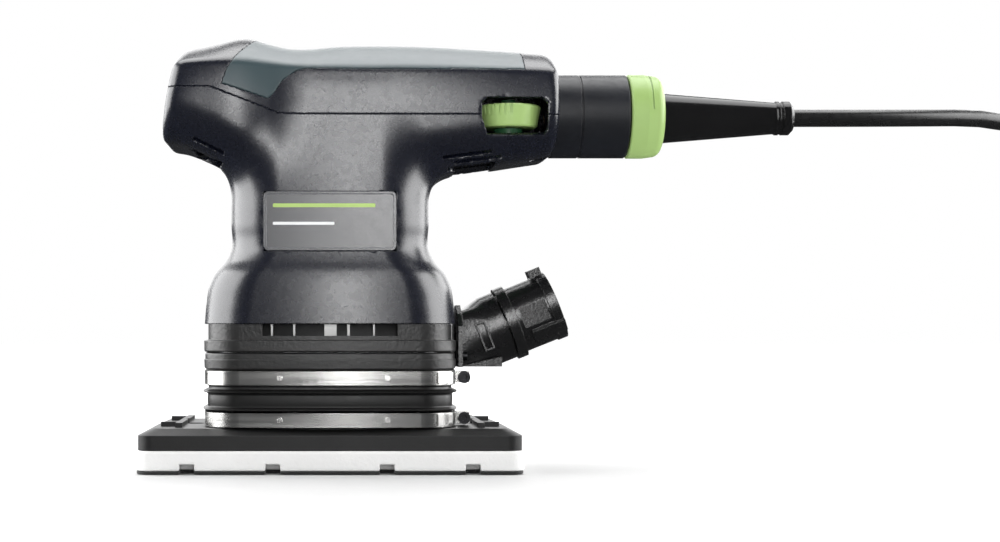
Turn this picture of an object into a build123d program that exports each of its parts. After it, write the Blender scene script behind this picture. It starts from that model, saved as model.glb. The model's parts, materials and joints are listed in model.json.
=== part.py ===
from build123d import *
import os
from math import atan2, cos, pi, radians, sin, sqrt, tan

os.makedirs("parts", exist_ok=True)

# Palm orbital finishing sander with a rectangular pad and a plug-in mains lead.
# Millimetres. Origin: centre of the pad's underside. +X points to the cable end of the
# handle, +Z up, and the motor stands upright on the Z axis.

# ------------------------------------------------------------------ driving dimensions
FIT = 0.03  # radial running clearance of a shaft in its bearing
GAP = 0.3  # gap between pieces that move past each other
WALL = 2.6  # housing wall
SKIN = 1.4  # thickness of the soft grip layer

# pad, from the floor up
HOOK_T = 1.1
FOAM_TOP = 7.9
PLATFORM_TOP = 15.2
PAD_LENGTH, PAD_WIDTH, PAD_CORNER = 132.0, 80.0, 5.0
PLATFORM_LENGTH, PLATFORM_WIDTH = 130.4, 78.8
PLATFORM_EDGE_Z, PLATFORM_SLOPE = 13.0, 5.0  # the top slopes down to its edge
DUST_HOLE_R = 3.5
NOTCH_X = (19.3, 48.3)  # edge notches, mirrored about the middle
NOTCH_W, NOTCH_H, NOTCH_DEPTH = 5.0, 2.3, 7.0

# the stack of rings between pad and housing
BAND_LOW_Z = (15.5, 20.5)
BELLOWS_SPLIT_Z = 20.65
BAND_TOP_Z = (29.8, 34.7)
RING_SPLIT_Z = 41.0
WINDOW_Z = 46.7
SKIRT_Z = 50.9
RING_X, RING_Y, RING_CORNER = 44.7, 38.0, 14.0  # half sizes of the ring outline
RING_BULGE = 3.0  # how far its sides bulge between the corners
WINDOW_HALF = 23.0

# motor, on the Z axis
ORBIT_R = 1.0  # eccentric offset: the pad swings on a circle of 2 mm diameter
SHAFT_R = 4.0
SHAFT_LOW_R = 5.0
SPINDLE_R = 6.0
SHAFT_Z = (37.0, 120.0)
SPINDLE_Z = (15.4, 26.0)
LOWER_BEARING = (13.0, 40.0, 48.0)  # outer radius, low z, high z
UPPER_BEARING = (11.0, 112.0, 119.0)
PAD_BEARING = (14.0, 16.2, 24.2)
CORE_Z = (66.0, 94.0)
CORE_R = 16.0
STATOR_BORE = 16.5
COMMUTATOR = (9.0, 100.5, 110.0)
FAN_Z = (52.2, 59.5)
BRUSH_Z = 105.2

# handle: x, underside z, crest z, crown half width, crown edge z, greatest half width,
# its z, and half width of the flat underside
HANDLE = (
    (-66, 111.5, 144.9, 27.0, 139.0, 30.0, 127.0, 15),
    (-56, 112.0, 147.2, 29.5, 140.2, 32.5, 127.0, 18),
    (-42, 107.5, 150.3, 30.5, 141.2, 33.0, 127.0, 18),
    (-28, 103.0, 152.9, 29.5, 141.4, 32.2, 127.0, 18),
    (-14, 102.0, 149.8, 27.0, 140.2, 29.3, 126.0, 17),
    (6, 102.0, 150.3, 26.0, 139.6, 28.2, 125.0, 16),
    (30, 103.0, 150.2, 25.8, 139.6, 28.0, 125.0, 16),
    (56, 106.3, 148.8, 25.2, 139.2, 27.6, 125.0, 14),
    (72, 108.7, 147.7, 24.6, 138.8, 27.0, 125.0, 13),
    (86, 110.5, 146.8, 24.0, 138.2, 26.4, 125.0, 12),
)
CAVITY_X = (-52.0, 77.2)  # the hollow of the handle stops short of both end walls
# neck and skirt: z, half length, half width, corner radius, bulge of the sides
NECK = (
    (50.9, 44.5, 37.5, 14.0, 3.0),
    (58.0, 43.9, 37.1, 14.0, 3.0),
    (64.5, 42.7, 36.4, 14.5, 2.8),
    (68.5, 40.6, 35.4, 15.0, 2.2),
    (72.5, 37.0, 34.0, 15.5, 1.6),
    (76.5, 35.0, 32.8, 16.0, 1.2),
    (86.0, 34.9, 32.6, 16.0, 1.2),
    (95.0, 35.0, 32.2, 16.0, 1.2),
    (99.5, 36.2, 31.2, 16.0, 1.2),
    (103.5, 40.0, 29.4, 16.0, 1.2),
    (110.0, 48.0, 26.0, 16.0, 1.2),
)
NOSE_FOOT = (-59.2, 114.0)  # x, z of the front face's lower edge
NOSE_TOP = (-53.2, 146.0)
REAR_MID = (80.7, 129.0)  # x, z of the rear face's ridge: it leans in above and below
REAR_LEANS = (7.0, -5.7)
NOSE_ROUND = 3.0  # rounding of the front face's edges
PARTING = ((-80, 132), (-41.5, 132), (-17.5, 123), (100, 123), (100, 170), (-80, 170))
INSERT = (
    (-24.8, 170), (-24.8, 153), (-33.0, 144.8), (-35.4, 142.3), (-38.4, 131.9),
    (-21.2, 125.4), (-20.4, 128.1), (-14.4, 137.0), (-8.6, 139.2), (67.5, 138.9), (67.5, 170),
)
LABEL_HALF, LABEL_Z = 22.6, (75.8, 96.0)
SLOT_W = 1.1
NOSE_SLOTS = ((-41.9, 112.0), (-43.0, 108.9), (-43.1, 106.2))
REAR_SLOTS = ((47.6, 109.4), (51.6, 107.9), (49.8, 105.9))

# speed wheel
WHEEL_X, WHEEL_Y, WHEEL_R, WHEEL_LOW_R = 62.4, -16.6, 11.3, 10.0
WHEEL_RIBS, WHEEL_PLAIN = 36, (272, 345)  # grip ribs, and the plain sector that carries the scale
WHEEL_Z = (119.2, 126.8)
WHEEL_WINDOW = (52.3, 75.3, 116.0, 129.0)  # x low, x high, z low, z high

# rocker switch in the nose: centre above the foot of the front face, and face size
ROCKER_RISE = 21.5
ROCKER_SIZE = (17.0, 12.0)

# dust outlet: a branch that leans up from the ring
PORT_TILT = 22.0
PORT_POINT = (62.8, 0.0, 50.7)
PORT_BORE_R = 7.0  # the opening through rings and bracket
CONNECTOR_R, CONNECTOR_BORE_R = 12.0, 10.2
CONNECTOR_END = 19.4  # along the branch axis from PORT_POINT

# cable inlet and plug
INLET_Z = 125.4
INLET_R = 14.85
INLET_X = (80.2, 106.0)
INLET_TAIL_X = 77.6  # the inlet's socket reaches this far into the handle
PLUG_CORE_R = 10.0
LOCK_X = (106.3, 118.8)
RELIEF_X = (118.8, 159.6, 166.0)
CORD_R = 3.1
CORD_Z = 124.9
COIL_CENTRE = (338.0, 1.0)
COIL_R = (27.0, 52.1)
COIL_H = 25.3
MAINS_PLUG = (343.0, 37.0, COIL_H + 13.5)  # cable end of the plug, lying on the coil
PLUG_LENGTH = 33.0  # from there to the face with the flats


def bulged_section(z, half_x, half_y, corner, bulge):
    """A level rounded rectangle whose sides bulge outwards between the corners."""
    end_x, end_y = half_x - bulge, half_y - bulge
    with BuildSketch(Plane.XY.offset(z)) as section:
        with BuildLine():
            ThreePointArc((end_x, -end_y), (half_x, 0), (end_x, end_y))
            ThreePointArc((end_x, end_y), (0, half_y), (-end_x, end_y))
            ThreePointArc((-end_x, end_y), (-half_x, 0), (-end_x, -end_y))
            ThreePointArc((-end_x, -end_y), (0, -half_y), (end_x, -end_y))
        make_face()
        fillet(section.vertices(), corner)
    return section.sketch


def slab(outline, z_low, z_high):
    """An upright prism of a bulged outline (half length, half width, corner)."""
    with BuildPart() as prism:
        extrude(bulged_section(z_low, *outline, RING_BULGE), amount=z_high - z_low)
    return prism.part


def ring_drop(x):
    """How far the ring outline's long side has fallen back at x."""
    end_x = RING_X - RING_BULGE
    radius = (end_x**2 + RING_BULGE**2) / (2 * RING_BULGE)
    return radius - sqrt(radius**2 - x**2)


def disc(radius, z_low, z_high, centre=(0, 0)):
    """An upright cylinder between two heights."""
    with BuildPart() as cylinder:
        with BuildSketch(Plane.XY.offset(z_low)):
            with Locations(centre):
                Circle(radius)
        extrude(amount=z_high - z_low)
    return cylinder.part


def ring_outline(inset=0.0):
    """Outline of the ring stack, moved inwards by an inset."""
    return (RING_X - inset, RING_Y - inset, RING_CORNER - inset)


def side_prism(points, y_low, y_high):
    """A prism along Y over a polygon of (x, z) points."""
    with BuildPart() as prism:
        with BuildSketch(Plane.XZ.offset(-y_high)):
            with BuildLine():
                Polyline(*points, close=True)
            make_face()
        extrude(amount=y_high - y_low)
    return prism.part


def handle_section(station, inset):
    """One cross-section of the handle: crowned top, leaning sides, rounded belly."""
    x, z_low, z_top, crown, z_crown, widest, z_widest, flat = station
    z_low, z_top, z_crown = z_low + inset, z_top - inset, z_crown - 0.6 * inset
    crown, widest, flat = crown - inset, widest - inset, flat - 0.4 * inset
    belly = (z_low + z_widest) / 2 - 3
    bulge = (crown + widest) / 2 + 0.25
    z_bulge = (z_crown + z_widest) / 2
    with BuildSketch(Plane(origin=(x, 0, 0), x_dir=(0, 1, 0), z_dir=(1, 0, 0))) as section:
        with BuildLine():
            ThreePointArc((crown, z_crown), (0, z_top), (-crown, z_crown))
            ThreePointArc((-crown, z_crown), (-bulge, z_bulge), (-widest, z_widest))
            Bezier((-widest, z_widest), (-widest, belly), (-flat - 10, z_low), (-flat, z_low))
            Line((-flat, z_low), (flat, z_low))
            Bezier((flat, z_low), (flat + 10, z_low), (widest, belly), (widest, z_widest))
            ThreePointArc((widest, z_widest), (bulge, z_bulge), (crown, z_crown))
        make_face()
    return section.sketch


def handle_solid(inset, x_low=-100.0, x_high=100.0):
    """The handle's outer form, or the same form inset, kept between two x values."""
    with BuildPart() as form:
        loft([handle_section(station, inset) for station in HANDLE])
        split(bisect_by=Plane(origin=(x_low, 0, 0), z_dir=(1, 0, 0)), keep=Keep.TOP)
        split(bisect_by=Plane(origin=(x_high, 0, 0), z_dir=(1, 0, 0)), keep=Keep.BOTTOM)
    return form.part


def neck_section(station, inset):
    """One level of the neck and skirt."""
    z, half_x, half_y, corner, bulge = station
    return bulged_section(z, half_x - inset, half_y - inset, corner - inset, bulge)


def neck_solid(inset):
    """Neck and skirt, lofted through their levels."""
    with BuildPart() as form:
        loft([neck_section(station, inset) for station in NECK])
    return form.part


def along_branch(t):
    """The plane square to the dust branch, t mm along its axis."""
    tilt = radians(PORT_TILT)
    x, y, z = PORT_POINT
    centre = (x + t * cos(tilt), y, z + t * sin(tilt))
    return Plane(origin=centre, x_dir=(0, 1, 0), z_dir=(cos(tilt), 0, sin(tilt)))


def along_x(x, y=0.0, z=INLET_Z):
    """The plane square to X at a point."""
    return Plane(origin=(x, y, z), x_dir=(0, 1, 0), z_dir=(1, 0, 0))


# ------------------------------------------------------------------ housing shells
nose_lean = atan2(NOSE_TOP[1] - NOSE_FOOT[1], NOSE_TOP[0] - NOSE_FOOT[0])
nose_face = Plane(
    origin=(NOSE_FOOT[0], 0, NOSE_FOOT[1]),
    x_dir=(0, 1, 0),
    z_dir=(sin(nose_lean), 0, -cos(nose_lean)),
)
rear_faces = [
    Plane(
        origin=(REAR_MID[0], 0, REAR_MID[1]),
        x_dir=(0, 1, 0),
        z_dir=(cos(radians(lean)), 0, sin(radians(lean))),
    )
    for lean in REAR_LEANS
]
above_parting = side_prism(PARTING, -60, 60)
insert_region = side_prism(INSERT, -60, 60)

with BuildPart() as outer_form:
    add(handle_solid(0.0))
    add(neck_solid(0.0))
    split(bisect_by=nose_face, keep=Keep.TOP)
    for rear_face in rear_faces:
        split(bisect_by=rear_face, keep=Keep.BOTTOM)
    fillet(outer_form.faces().sort_by(Axis.X)[0].edges(), NOSE_ROUND)

with BuildPart() as cavity:
    add(handle_solid(WALL, *CAVITY_X))
    add(neck_solid(WALL))
    add(slab((RING_X - 3, RING_Y - 3, 11.5), SKIRT_Z - 2, SKIRT_Z + 3))

with BuildPart() as openings:
    x_low, x_high, z_low, z_high = WHEEL_WINDOW
    window = ((x_low + 2, z_low), (x_high - 1, z_low), (x_high, z_low + 2), (x_high, z_high - 2),
              (x_high - 2, z_high), (x_low + 2, z_high), (x_low, z_high - 2), (x_low, z_low + 6))
    add(side_prism(window, -40, -15))
    for x, z in NOSE_SLOTS:
        with Locations(Location((x, 0, z), (0, 26, 0))):
            Box(11.5, 90, SLOT_W)
    for x, z in REAR_SLOTS:
        with Locations(Location((x, 0, z), (0, -7.5, 0))):
            Box(17.0, 90, SLOT_W)
    with BuildSketch(along_x(CAVITY_X[1] - 4)):
        Circle(11.5)
    extrude(amount=14)
    # opening for the rocker switch in the front wall
    with BuildSketch(nose_face.offset(6)):
        with Locations((0, ROCKER_RISE)):
            Rectangle(ROCKER_SIZE[0] + 1.0, ROCKER_SIZE[1] + 1.0)
    extrude(amount=-15)

with BuildPart() as grip_insert:
    add(outer_form.part)
    add(insert_region, mode=Mode.INTERSECT)
    add(handle_solid(SKIN), mode=Mode.SUBTRACT)
grip_insert.part.label = "grip_insert"
export_step(grip_insert.part, "parts/grip_insert.step")

SCREW_R, SCREW_HEAD_R = 1.75, 3.4
# x, y, seat height and tip height of the housing screws, driven from below
HOUSING_SCREWS = (
    (-46, 12, 116.5, 126.0), (-46, -12, 116.5, 126.0), (74.2, 9, 115.3, 118.9), (74.2, -9, 115.3, 118.9)
)

LABEL_FACE_Y, LABEL_T = 32.05, 1.3


def label_prism(margin, depth_out):
    """The rating plate's outline, standing out from the floor of its pocket."""
    with BuildPart() as prism:
        with BuildSketch(Plane.XZ.offset(LABEL_FACE_Y - LABEL_T)):
            with Locations((0, (LABEL_Z[0] + LABEL_Z[1]) / 2)):
                RectangleRounded(2 * (LABEL_HALF + margin), LABEL_Z[1] - LABEL_Z[0] + 2 * margin, 1.6)
        extrude(amount=depth_out)
    return prism.part


with BuildPart() as label_plate:
    add(label_prism(0.0, LABEL_T))
label_plate.part.label = "label_plate"
export_step(label_plate.part, "parts/label_plate.step")

with BuildPart() as top_shell:
    add(outer_form.part)
    add(above_parting, mode=Mode.INTERSECT)
    add(cavity.part, mode=Mode.SUBTRACT)
    add(grip_insert.part, mode=Mode.SUBTRACT)
    add(openings.part, mode=Mode.SUBTRACT)
top_shell.part.label = "top_shell"
export_step(top_shell.part, "parts/top_shell.step")

with BuildPart() as lower_housing:
    add(outer_form.part)
    add(above_parting, mode=Mode.SUBTRACT)
    add(cavity.part, mode=Mode.SUBTRACT)
    add(openings.part, mode=Mode.SUBTRACT)
    add(label_prism(0.15, 5.0), mode=Mode.SUBTRACT)
    for x, y, seat, tip in HOUSING_SCREWS:
        add(disc(SCREW_R + 0.05, 100, tip, (x, y)), mode=Mode.SUBTRACT)
        add(disc(SCREW_HEAD_R + 0.2, 100, seat - 1.9, (x, y)), mode=Mode.SUBTRACT)
lower_housing.part.label = "lower_housing"
export_step(lower_housing.part, "parts/lower_housing.step")

with BuildPart() as housing_screws:
    for x, y, seat, tip in HOUSING_SCREWS:
        add(disc(SCREW_R, seat - 2.0, tip, (x, y)))
        add(disc(SCREW_HEAD_R, seat - 4.1, seat - 1.9, (x, y)))
        with BuildSketch(Plane.XY.offset(seat - 4.1)):
            with Locations((x, y)):
                RegularPolygon(1.3, 6)
        extrude(amount=1.4, mode=Mode.SUBTRACT)
housing_screws.part.label = "housing_screws"
export_step(housing_screws.part, "parts/housing_screws.step")


# ------------------------------------------------------------------ rings and bellows
def ring_levels(levels):
    """A solid through ring outlines given as (z, inset), joined by straight walls."""
    with BuildPart() as form:
        loft([bulged_section(z, *ring_outline(inset), RING_BULGE) for z, inset in levels], ruled=True)
    return form.part


COLLAR_INSETS = (2.9, 5.2)  # outside and inside of the collars under the bands
CUFF_INSET = 1.0
with BuildPart() as port_hole:
    with BuildSketch(along_branch(-26)):
        Circle(PORT_BORE_R)
    extrude(amount=30)

with BuildPart() as vent_ring:
    add(ring_levels(((RING_SPLIT_Z + 0.2, 0.3), (41.6, 0.0), (45.0, 0.0), (45.3, 1.4), (50.7, 1.4))))
    add(slab(ring_outline(3.4), 41.0, 51.0), mode=Mode.SUBTRACT)
    with BuildSketch(Plane.XY.offset(WINDOW_Z)):
        Rectangle(2 * WINDOW_HALF, 90)
    extrude(amount=6, mode=Mode.SUBTRACT)
    add(port_hole.part, mode=Mode.SUBTRACT)
vent_ring.part.label = "vent_ring"
export_step(vent_ring.part, "parts/vent_ring.step")

with BuildPart() as lower_ring:
    add(ring_levels(((34.8, 1.0), (35.6, 0.1), (38.5, 0.0), (38.6, 0.35), (40.4, 0.35), (40.9, 0.7))))
    add(slab(ring_outline(COLLAR_INSETS[0]), BAND_TOP_Z[0] + 0.1, 35.0))
    add(slab(ring_outline(COLLAR_INSETS[1]), 29.0, 41.0), mode=Mode.SUBTRACT)
    add(port_hole.part, mode=Mode.SUBTRACT)
lower_ring.part.label = "lower_ring"
export_step(lower_ring.part, "parts/lower_ring.step")

BAFFLE_RIBS = ((-19.8, 0.7), (-12.2, 0.7), (0.15, 4.2), (6.3, 0.9), (15.0, 0.6))  # x, width
with BuildPart() as air_baffle:
    add(slab(ring_outline(4.2), 46.0, WINDOW_Z - 0.1))
    add(slab(ring_outline(11.0), 45.0, 52.0), mode=Mode.SUBTRACT)
    for x, width in BAFFLE_RIBS:
        with BuildSketch(Plane.XY.offset(46.0)):
            with Locations((x, -31.2), (-x, 31.2)):
                Rectangle(width, 3.6)
        extrude(amount=4.6)
air_baffle.part.label = "air_baffle"
export_step(air_baffle.part, "parts/air_baffle.step")

SHROUD_INSETS = (9.2, 10.6)
with BuildPart() as fan_shroud:
    # dark wall behind the vent windows that leads the air up into the fan
    add(slab(ring_outline(SHROUD_INSETS[0]), WINDOW_Z - 0.1, SKIRT_Z - 0.1))
    add(slab(ring_outline(SHROUD_INSETS[1]), WINDOW_Z - 1, SKIRT_Z + 1), mode=Mode.SUBTRACT)
fan_shroud.part.label = "fan_shroud"
export_step(fan_shroud.part, "parts/fan_shroud.step")

with BuildPart() as bellows:
    add(
        ring_levels(
            ((20.95, 1.2), (21.5, -0.4), (22.1, 1.2), (24.6, 1.6), (26.9, 1.2), (27.5, -0.3),
             (28.1, 1.2), (29.6, CUFF_INSET), (34.6, CUFF_INSET))
        )
    )
    add(slab(ring_outline(COLLAR_INSETS[0] - 0.02), 20.0, 35.0), mode=Mode.SUBTRACT)
bellows.part.label = "bellows"
export_step(bellows.part, "parts/bellows.step")

with BuildPart() as bellows_cuff:
    add(slab(ring_outline(CUFF_INSET), BAND_LOW_Z[0] - 0.1, BELLOWS_SPLIT_Z - 0.1))
    add(slab(ring_outline(COLLAR_INSETS[0] - 0.02), 15.0, 21.0), mode=Mode.SUBTRACT)
bellows_cuff.part.label = "bellows_cuff"
export_step(bellows_cuff.part, "parts/bellows_cuff.step")

RIVET_X = (-17.0, 19.5)
EAR_X, EAR_LENGTH = 46.3, 5.4
EAR_Y = (-15.5, -9.5)  # the two ears of a band clamp
SCREW_X = 46.9


def clamp_band(z_low, z_high):
    """A steel band clamp with two rivet heads, a joint clip and a pair of screw ears."""
    z_mid = (z_low + z_high) / 2
    split_gap = Pos(46, (EAR_Y[0] + EAR_Y[1]) / 2, z_mid) * Box(6, EAR_Y[1] - EAR_Y[0] - 1.8, 10)
    clip_zone = Pos(39.5, -32, z_mid) * Box(5.5, 24, 10)
    clip = slab(ring_outline(-0.3), z_low + 0.4, z_high - 0.4) - slab(ring_outline(0.2), 0, 60)
    clip = clip & clip_zone
    with BuildPart() as band:
        add(slab(ring_outline(0.2), z_low, z_high))
        add(slab(ring_outline(0.98), z_low - 1, z_high + 1), mode=Mode.SUBTRACT)
        add(split_gap, mode=Mode.SUBTRACT)
        add(clip)
        for x in RIVET_X:
            with BuildSketch(Plane.XZ.offset(RING_Y - ring_drop(x) - 0.4)):
                with Locations((x, z_mid)):
                    Circle(0.95)
            extrude(amount=0.55)
        with BuildSketch(Plane.XZ.offset(-EAR_Y[0])):
            with Locations((EAR_X, z_mid)):
                Rectangle(EAR_LENGTH, 4.0)
        extrude(amount=-0.9)
        with BuildSketch(Plane.XZ.offset(-EAR_Y[1])):
            with Locations((EAR_X, z_mid)):
                Rectangle(EAR_LENGTH, 4.0)
        extrude(amount=0.9)
        with BuildSketch(Plane.XZ.offset(20)):
            with Locations((SCREW_X, z_mid)):
                Circle(1.35)
        extrude(amount=-20, mode=Mode.SUBTRACT)
    return band.part


def clamp_screw(z_low, z_high):
    """Socket-head screw through a band clamp's ears, head towards -Y, with its nut."""
    z_mid = (z_low + z_high) / 2
    with BuildPart() as screw:
        with BuildSketch(Plane.XZ.offset(18.6)):
            with Locations((SCREW_X, z_mid)):
                Circle(2.15)
        extrude(amount=-3.05)
        with BuildSketch(Plane.XZ.offset(18.6)):
            with Locations((SCREW_X, z_mid)):
                RegularPolygon(1.1, 6)
        extrude(amount=-1.4, mode=Mode.SUBTRACT)
        with BuildSketch(Plane.XZ.offset(16.0)):
            with Locations((SCREW_X, z_mid)):
                Circle(1.3)
        extrude(amount=-9.5)
        with BuildSketch(Plane.XZ.offset(9.4)):
            with Locations((SCREW_X, z_mid)):
                RegularPolygon(2.1, 6)
        extrude(amount=-2.2)
    return screw.part


for label, span in (("band_upper", BAND_TOP_Z), ("band_lower", BAND_LOW_Z)):
    band_form = clamp_band(span[0] + 0.1, span[1] - 0.05)
    with BuildPart() as band_clamp:
        add(band_form)
    band_clamp.part.label = label
    export_step(band_clamp.part, f"parts/{label}.step")

for label, span in (("clamp_screw_upper", BAND_TOP_Z), ("clamp_screw_lower", BAND_LOW_Z)):
    with BuildPart() as screw_and_nut:
        add(clamp_screw(*span))
    screw_and_nut.part.label = label
    export_step(screw_and_nut.part, f"parts/{label}.step")

# ------------------------------------------------------------------ pad
DUST_HOLES = ((-48.3, 0), (48.3, 0), (-19.3, 20), (19.3, 20), (-19.3, -20), (19.3, -20))
CARRIER_SCREWS = ((-33, 0), (33, 0), (0, 29), (0, -29))
LEG_SPOTS = ((-30, -21), (30, -21), (-30, 21), (30, 21))
LEG_R, LEG_WAIST_R = 5.0, 3.9
# as the pad swings, a leg's foot circles about a point ORBIT_R towards +X of where it rests
CUP_SPOTS = [(x + ORBIT_R, y) for x, y in LEG_SPOTS]

with BuildPart() as platform:
    with BuildSketch(Plane.XY.offset(FOAM_TOP)):
        RectangleRounded(PLATFORM_LENGTH, PLATFORM_WIDTH, PAD_CORNER)
    extrude(amount=PLATFORM_EDGE_Z - FOAM_TOP)
    with BuildSketch(Plane.XY.offset(PLATFORM_EDGE_Z)):
        RectangleRounded(PLATFORM_LENGTH, PLATFORM_WIDTH, PAD_CORNER)
    with BuildSketch(Plane.XY.offset(PLATFORM_TOP)):
        RectangleRounded(PLATFORM_LENGTH - 2 * PLATFORM_SLOPE, PLATFORM_WIDTH - 2 * PLATFORM_SLOPE, 3)
    loft(ruled=True)
    with BuildSketch(Plane.XY.offset(PLATFORM_TOP)):
        with Locations((-52.0, 0), (52.0, 0)):
            Rectangle(2.4, 56)
        with Locations((-55.8, 20), (-55.8, -20), (55.8, 20), (55.8, -20)):
            Rectangle(6, 1.6)
    extrude(amount=1.6)
    add(slab(ring_outline(COLLAR_INSETS[0]), PLATFORM_TOP - 0.5, BAND_LOW_Z[1] - 0.3))
    add(slab(ring_outline(COLLAR_INSETS[1]), PLATFORM_TOP, 30), mode=Mode.SUBTRACT)
    add(disc(PAD_BEARING[0] + 3.2, 10, PAD_BEARING[2] + 0.8))
    add(disc(PAD_BEARING[0], PAD_BEARING[1], 40, (ORBIT_R, 0)), mode=Mode.SUBTRACT)
    add(disc(11.0, 9.9, 40, (ORBIT_R, 0)), mode=Mode.SUBTRACT)
    with Locations(*[(x, y, 12) for x, y in DUST_HOLES]):
        Cylinder(DUST_HOLE_R, 14, mode=Mode.SUBTRACT)
    with Locations(*[(x, y, 12) for x, y in CARRIER_SCREWS]):
        Cylinder(2.1, 14, mode=Mode.SUBTRACT)
    with Locations(*[(x, y, PLATFORM_TOP + 1) for x, y in CUP_SPOTS]):
        Cylinder(LEG_R + 2.6, 6, mode=Mode.SUBTRACT)
platform.part.label = "platform"
export_step(platform.part, "parts/platform.step")


def pad_layer(length, width, corner, z_low, z_high):
    """One soft layer of the pad with its dust holes and screw access holes."""
    with BuildPart() as layer:
        with BuildSketch(Plane.XY.offset(z_low)):
            RectangleRounded(length, width, corner)
            with Locations(*DUST_HOLES):
                Circle(DUST_HOLE_R, mode=Mode.SUBTRACT)
            with Locations(*CARRIER_SCREWS):
                Circle(4.4, mode=Mode.SUBTRACT)
        extrude(amount=z_high - z_low)
    return layer.part


with BuildPart() as foam_pad:
    add(pad_layer(PAD_LENGTH, PAD_WIDTH, PAD_CORNER, HOOK_T, FOAM_TOP))
    for x in NOTCH_X:
        with Locations(*[(a * x, b * PAD_WIDTH / 2, HOOK_T) for a in (-1, 1) for b in (-1, 1)]):
            Box(NOTCH_W, 2 * NOTCH_DEPTH, 2 * NOTCH_H, mode=Mode.SUBTRACT)
foam_pad.part.label = "foam_pad"
export_step(foam_pad.part, "parts/foam_pad.step")

with BuildPart() as hook_layer:
    add(pad_layer(PAD_LENGTH - 0.8, PAD_WIDTH - 0.8, PAD_CORNER - 0.4, 0, HOOK_T))
    for x in NOTCH_X:
        with Locations(*[(a * x, b * PAD_WIDTH / 2, 0) for a in (-1, 1) for b in (-1, 1)]):
            Box(NOTCH_W, 2 * NOTCH_DEPTH, 4, mode=Mode.SUBTRACT)
hook_layer.part.label = "hook_layer"
export_step(hook_layer.part, "parts/hook_layer.step")

with BuildPart() as platform_screws:
    for x, y in CARRIER_SCREWS:
        add(disc(2.0, 7.8, 14.6, (x, y)))
        add(disc(3.9, 5.2, 7.8, (x, y)))
        with BuildSketch(Plane.XY.offset(5.2)):
            with Locations((x, y)):
                RegularPolygon(1.9, 6)
        extrude(amount=1.6, mode=Mode.SUBTRACT)
platform_screws.part.label = "platform_screws"
export_step(platform_screws.part, "parts/platform_screws.step")

with BuildPart() as leg_cups:
    # sockets in the platform, wide enough for the swing legs' feet to circle in
    for spot in CUP_SPOTS:
        add(disc(LEG_R + 2.5, PLATFORM_TOP - 1.9, 16.6, spot))
        add(disc(LEG_R + ORBIT_R + GAP, 14.3, 20, spot), mode=Mode.SUBTRACT)
leg_cups.part.label = "leg_cups"
export_step(leg_cups.part, "parts/leg_cups.step")


def ball_bearing(outer_r, inner_r, z_low, z_high, centre=(0, 0)):
    """A shielded ball bearing: two rings with a stepped shield between them."""
    with BuildPart() as bearing:
        add(disc(outer_r, z_low, z_high, centre))
        ring_out, ring_in = outer_r - 2.2, inner_r + 2.2
        for z in (z_low - 0.1, z_high - 0.4):
            with BuildSketch(Plane.XY.offset(z)):
                with Locations(centre):
                    Circle(ring_out)
                    Circle(ring_in, mode=Mode.SUBTRACT)
            extrude(amount=0.5, mode=Mode.SUBTRACT)
        add(disc(inner_r, z_low - 1, z_high + 1, centre), mode=Mode.SUBTRACT)
    return bearing.part


for label, size, inner_r, centre in (
    ("lower_bearing", LOWER_BEARING, SHAFT_LOW_R + FIT, (0, 0)),
    ("upper_bearing", UPPER_BEARING, SHAFT_R + FIT, (0, 0)),
    ("pad_bearing", PAD_BEARING, SPINDLE_R + FIT, (ORBIT_R, 0)),
):
    with BuildPart() as bearing_piece:
        add(ball_bearing(size[0] - 0.01, inner_r, size[1], size[2], centre))
    bearing_piece.part.label = label
    export_step(bearing_piece.part, f"parts/{label}.step")

# ------------------------------------------------------------------ motor
with BuildPart() as motor_shaft:
    # straight shaft with the eccentric spindle turned on its lower end
    add(disc(SHAFT_R, 60, SHAFT_Z[1]))
    add(disc(SHAFT_LOW_R, SPINDLE_Z[1], 60))
    add(disc(SPINDLE_R, SPINDLE_Z[0], SPINDLE_Z[1], (ORBIT_R, 0)))
    add(disc(9.0, SPINDLE_Z[1] - 0.8, SPINDLE_Z[1] + 2, (ORBIT_R, 0)))
    add(disc(2.0, SPINDLE_Z[0] - 1, SPINDLE_Z[0] + 8, (ORBIT_R, 0)), mode=Mode.SUBTRACT)
motor_shaft.part.label = "motor_shaft"
export_step(motor_shaft.part, "parts/motor_shaft.step")

with BuildPart() as spindle_screw:
    add(disc(1.98, 12.4, SPINDLE_Z[0] + 7.5, (ORBIT_R, 0)))
    add(disc(7.6, 13.9, SPINDLE_Z[0], (ORBIT_R, 0)))
    add(disc(4.0, 11.3, 13.9, (ORBIT_R, 0)))
    with BuildSketch(Plane.XY.offset(11.3)):
        with Locations((ORBIT_R, 0)):
            RegularPolygon(2.2, 6)
    extrude(amount=1.6, mode=Mode.SUBTRACT)
spindle_screw.part.label = "spindle_screw"
export_step(spindle_screw.part, "parts/spindle_screw.step")

with BuildPart() as counterweight:
    # heavy half opposite the eccentric, clamped on the shaft under the lower bearing
    with BuildSketch(Plane.XY.offset(28.2)):
        Circle(24.0)
        with Locations((16.0, 0)):
            Rectangle(24.0, 60.0, mode=Mode.SUBTRACT)
        Circle(10.0)
        Circle(SHAFT_LOW_R + 0.01, mode=Mode.SUBTRACT)
    extrude(amount=9.0)
counterweight.part.label = "counterweight"
export_step(counterweight.part, "parts/counterweight.step")

with BuildPart() as armature_core:
    with BuildSketch(Plane.XY.offset(CORE_Z[0])):
        Circle(CORE_R)
        with PolarLocations(CORE_R - 2.6, 12):
            Rectangle(5.4, 2.2, mode=Mode.SUBTRACT)
        Circle(SHAFT_R + 0.01, mode=Mode.SUBTRACT)
    extrude(amount=CORE_Z[1] - CORE_Z[0])
armature_core.part.label = "armature_core"
export_step(armature_core.part, "parts/armature_core.step")

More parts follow.
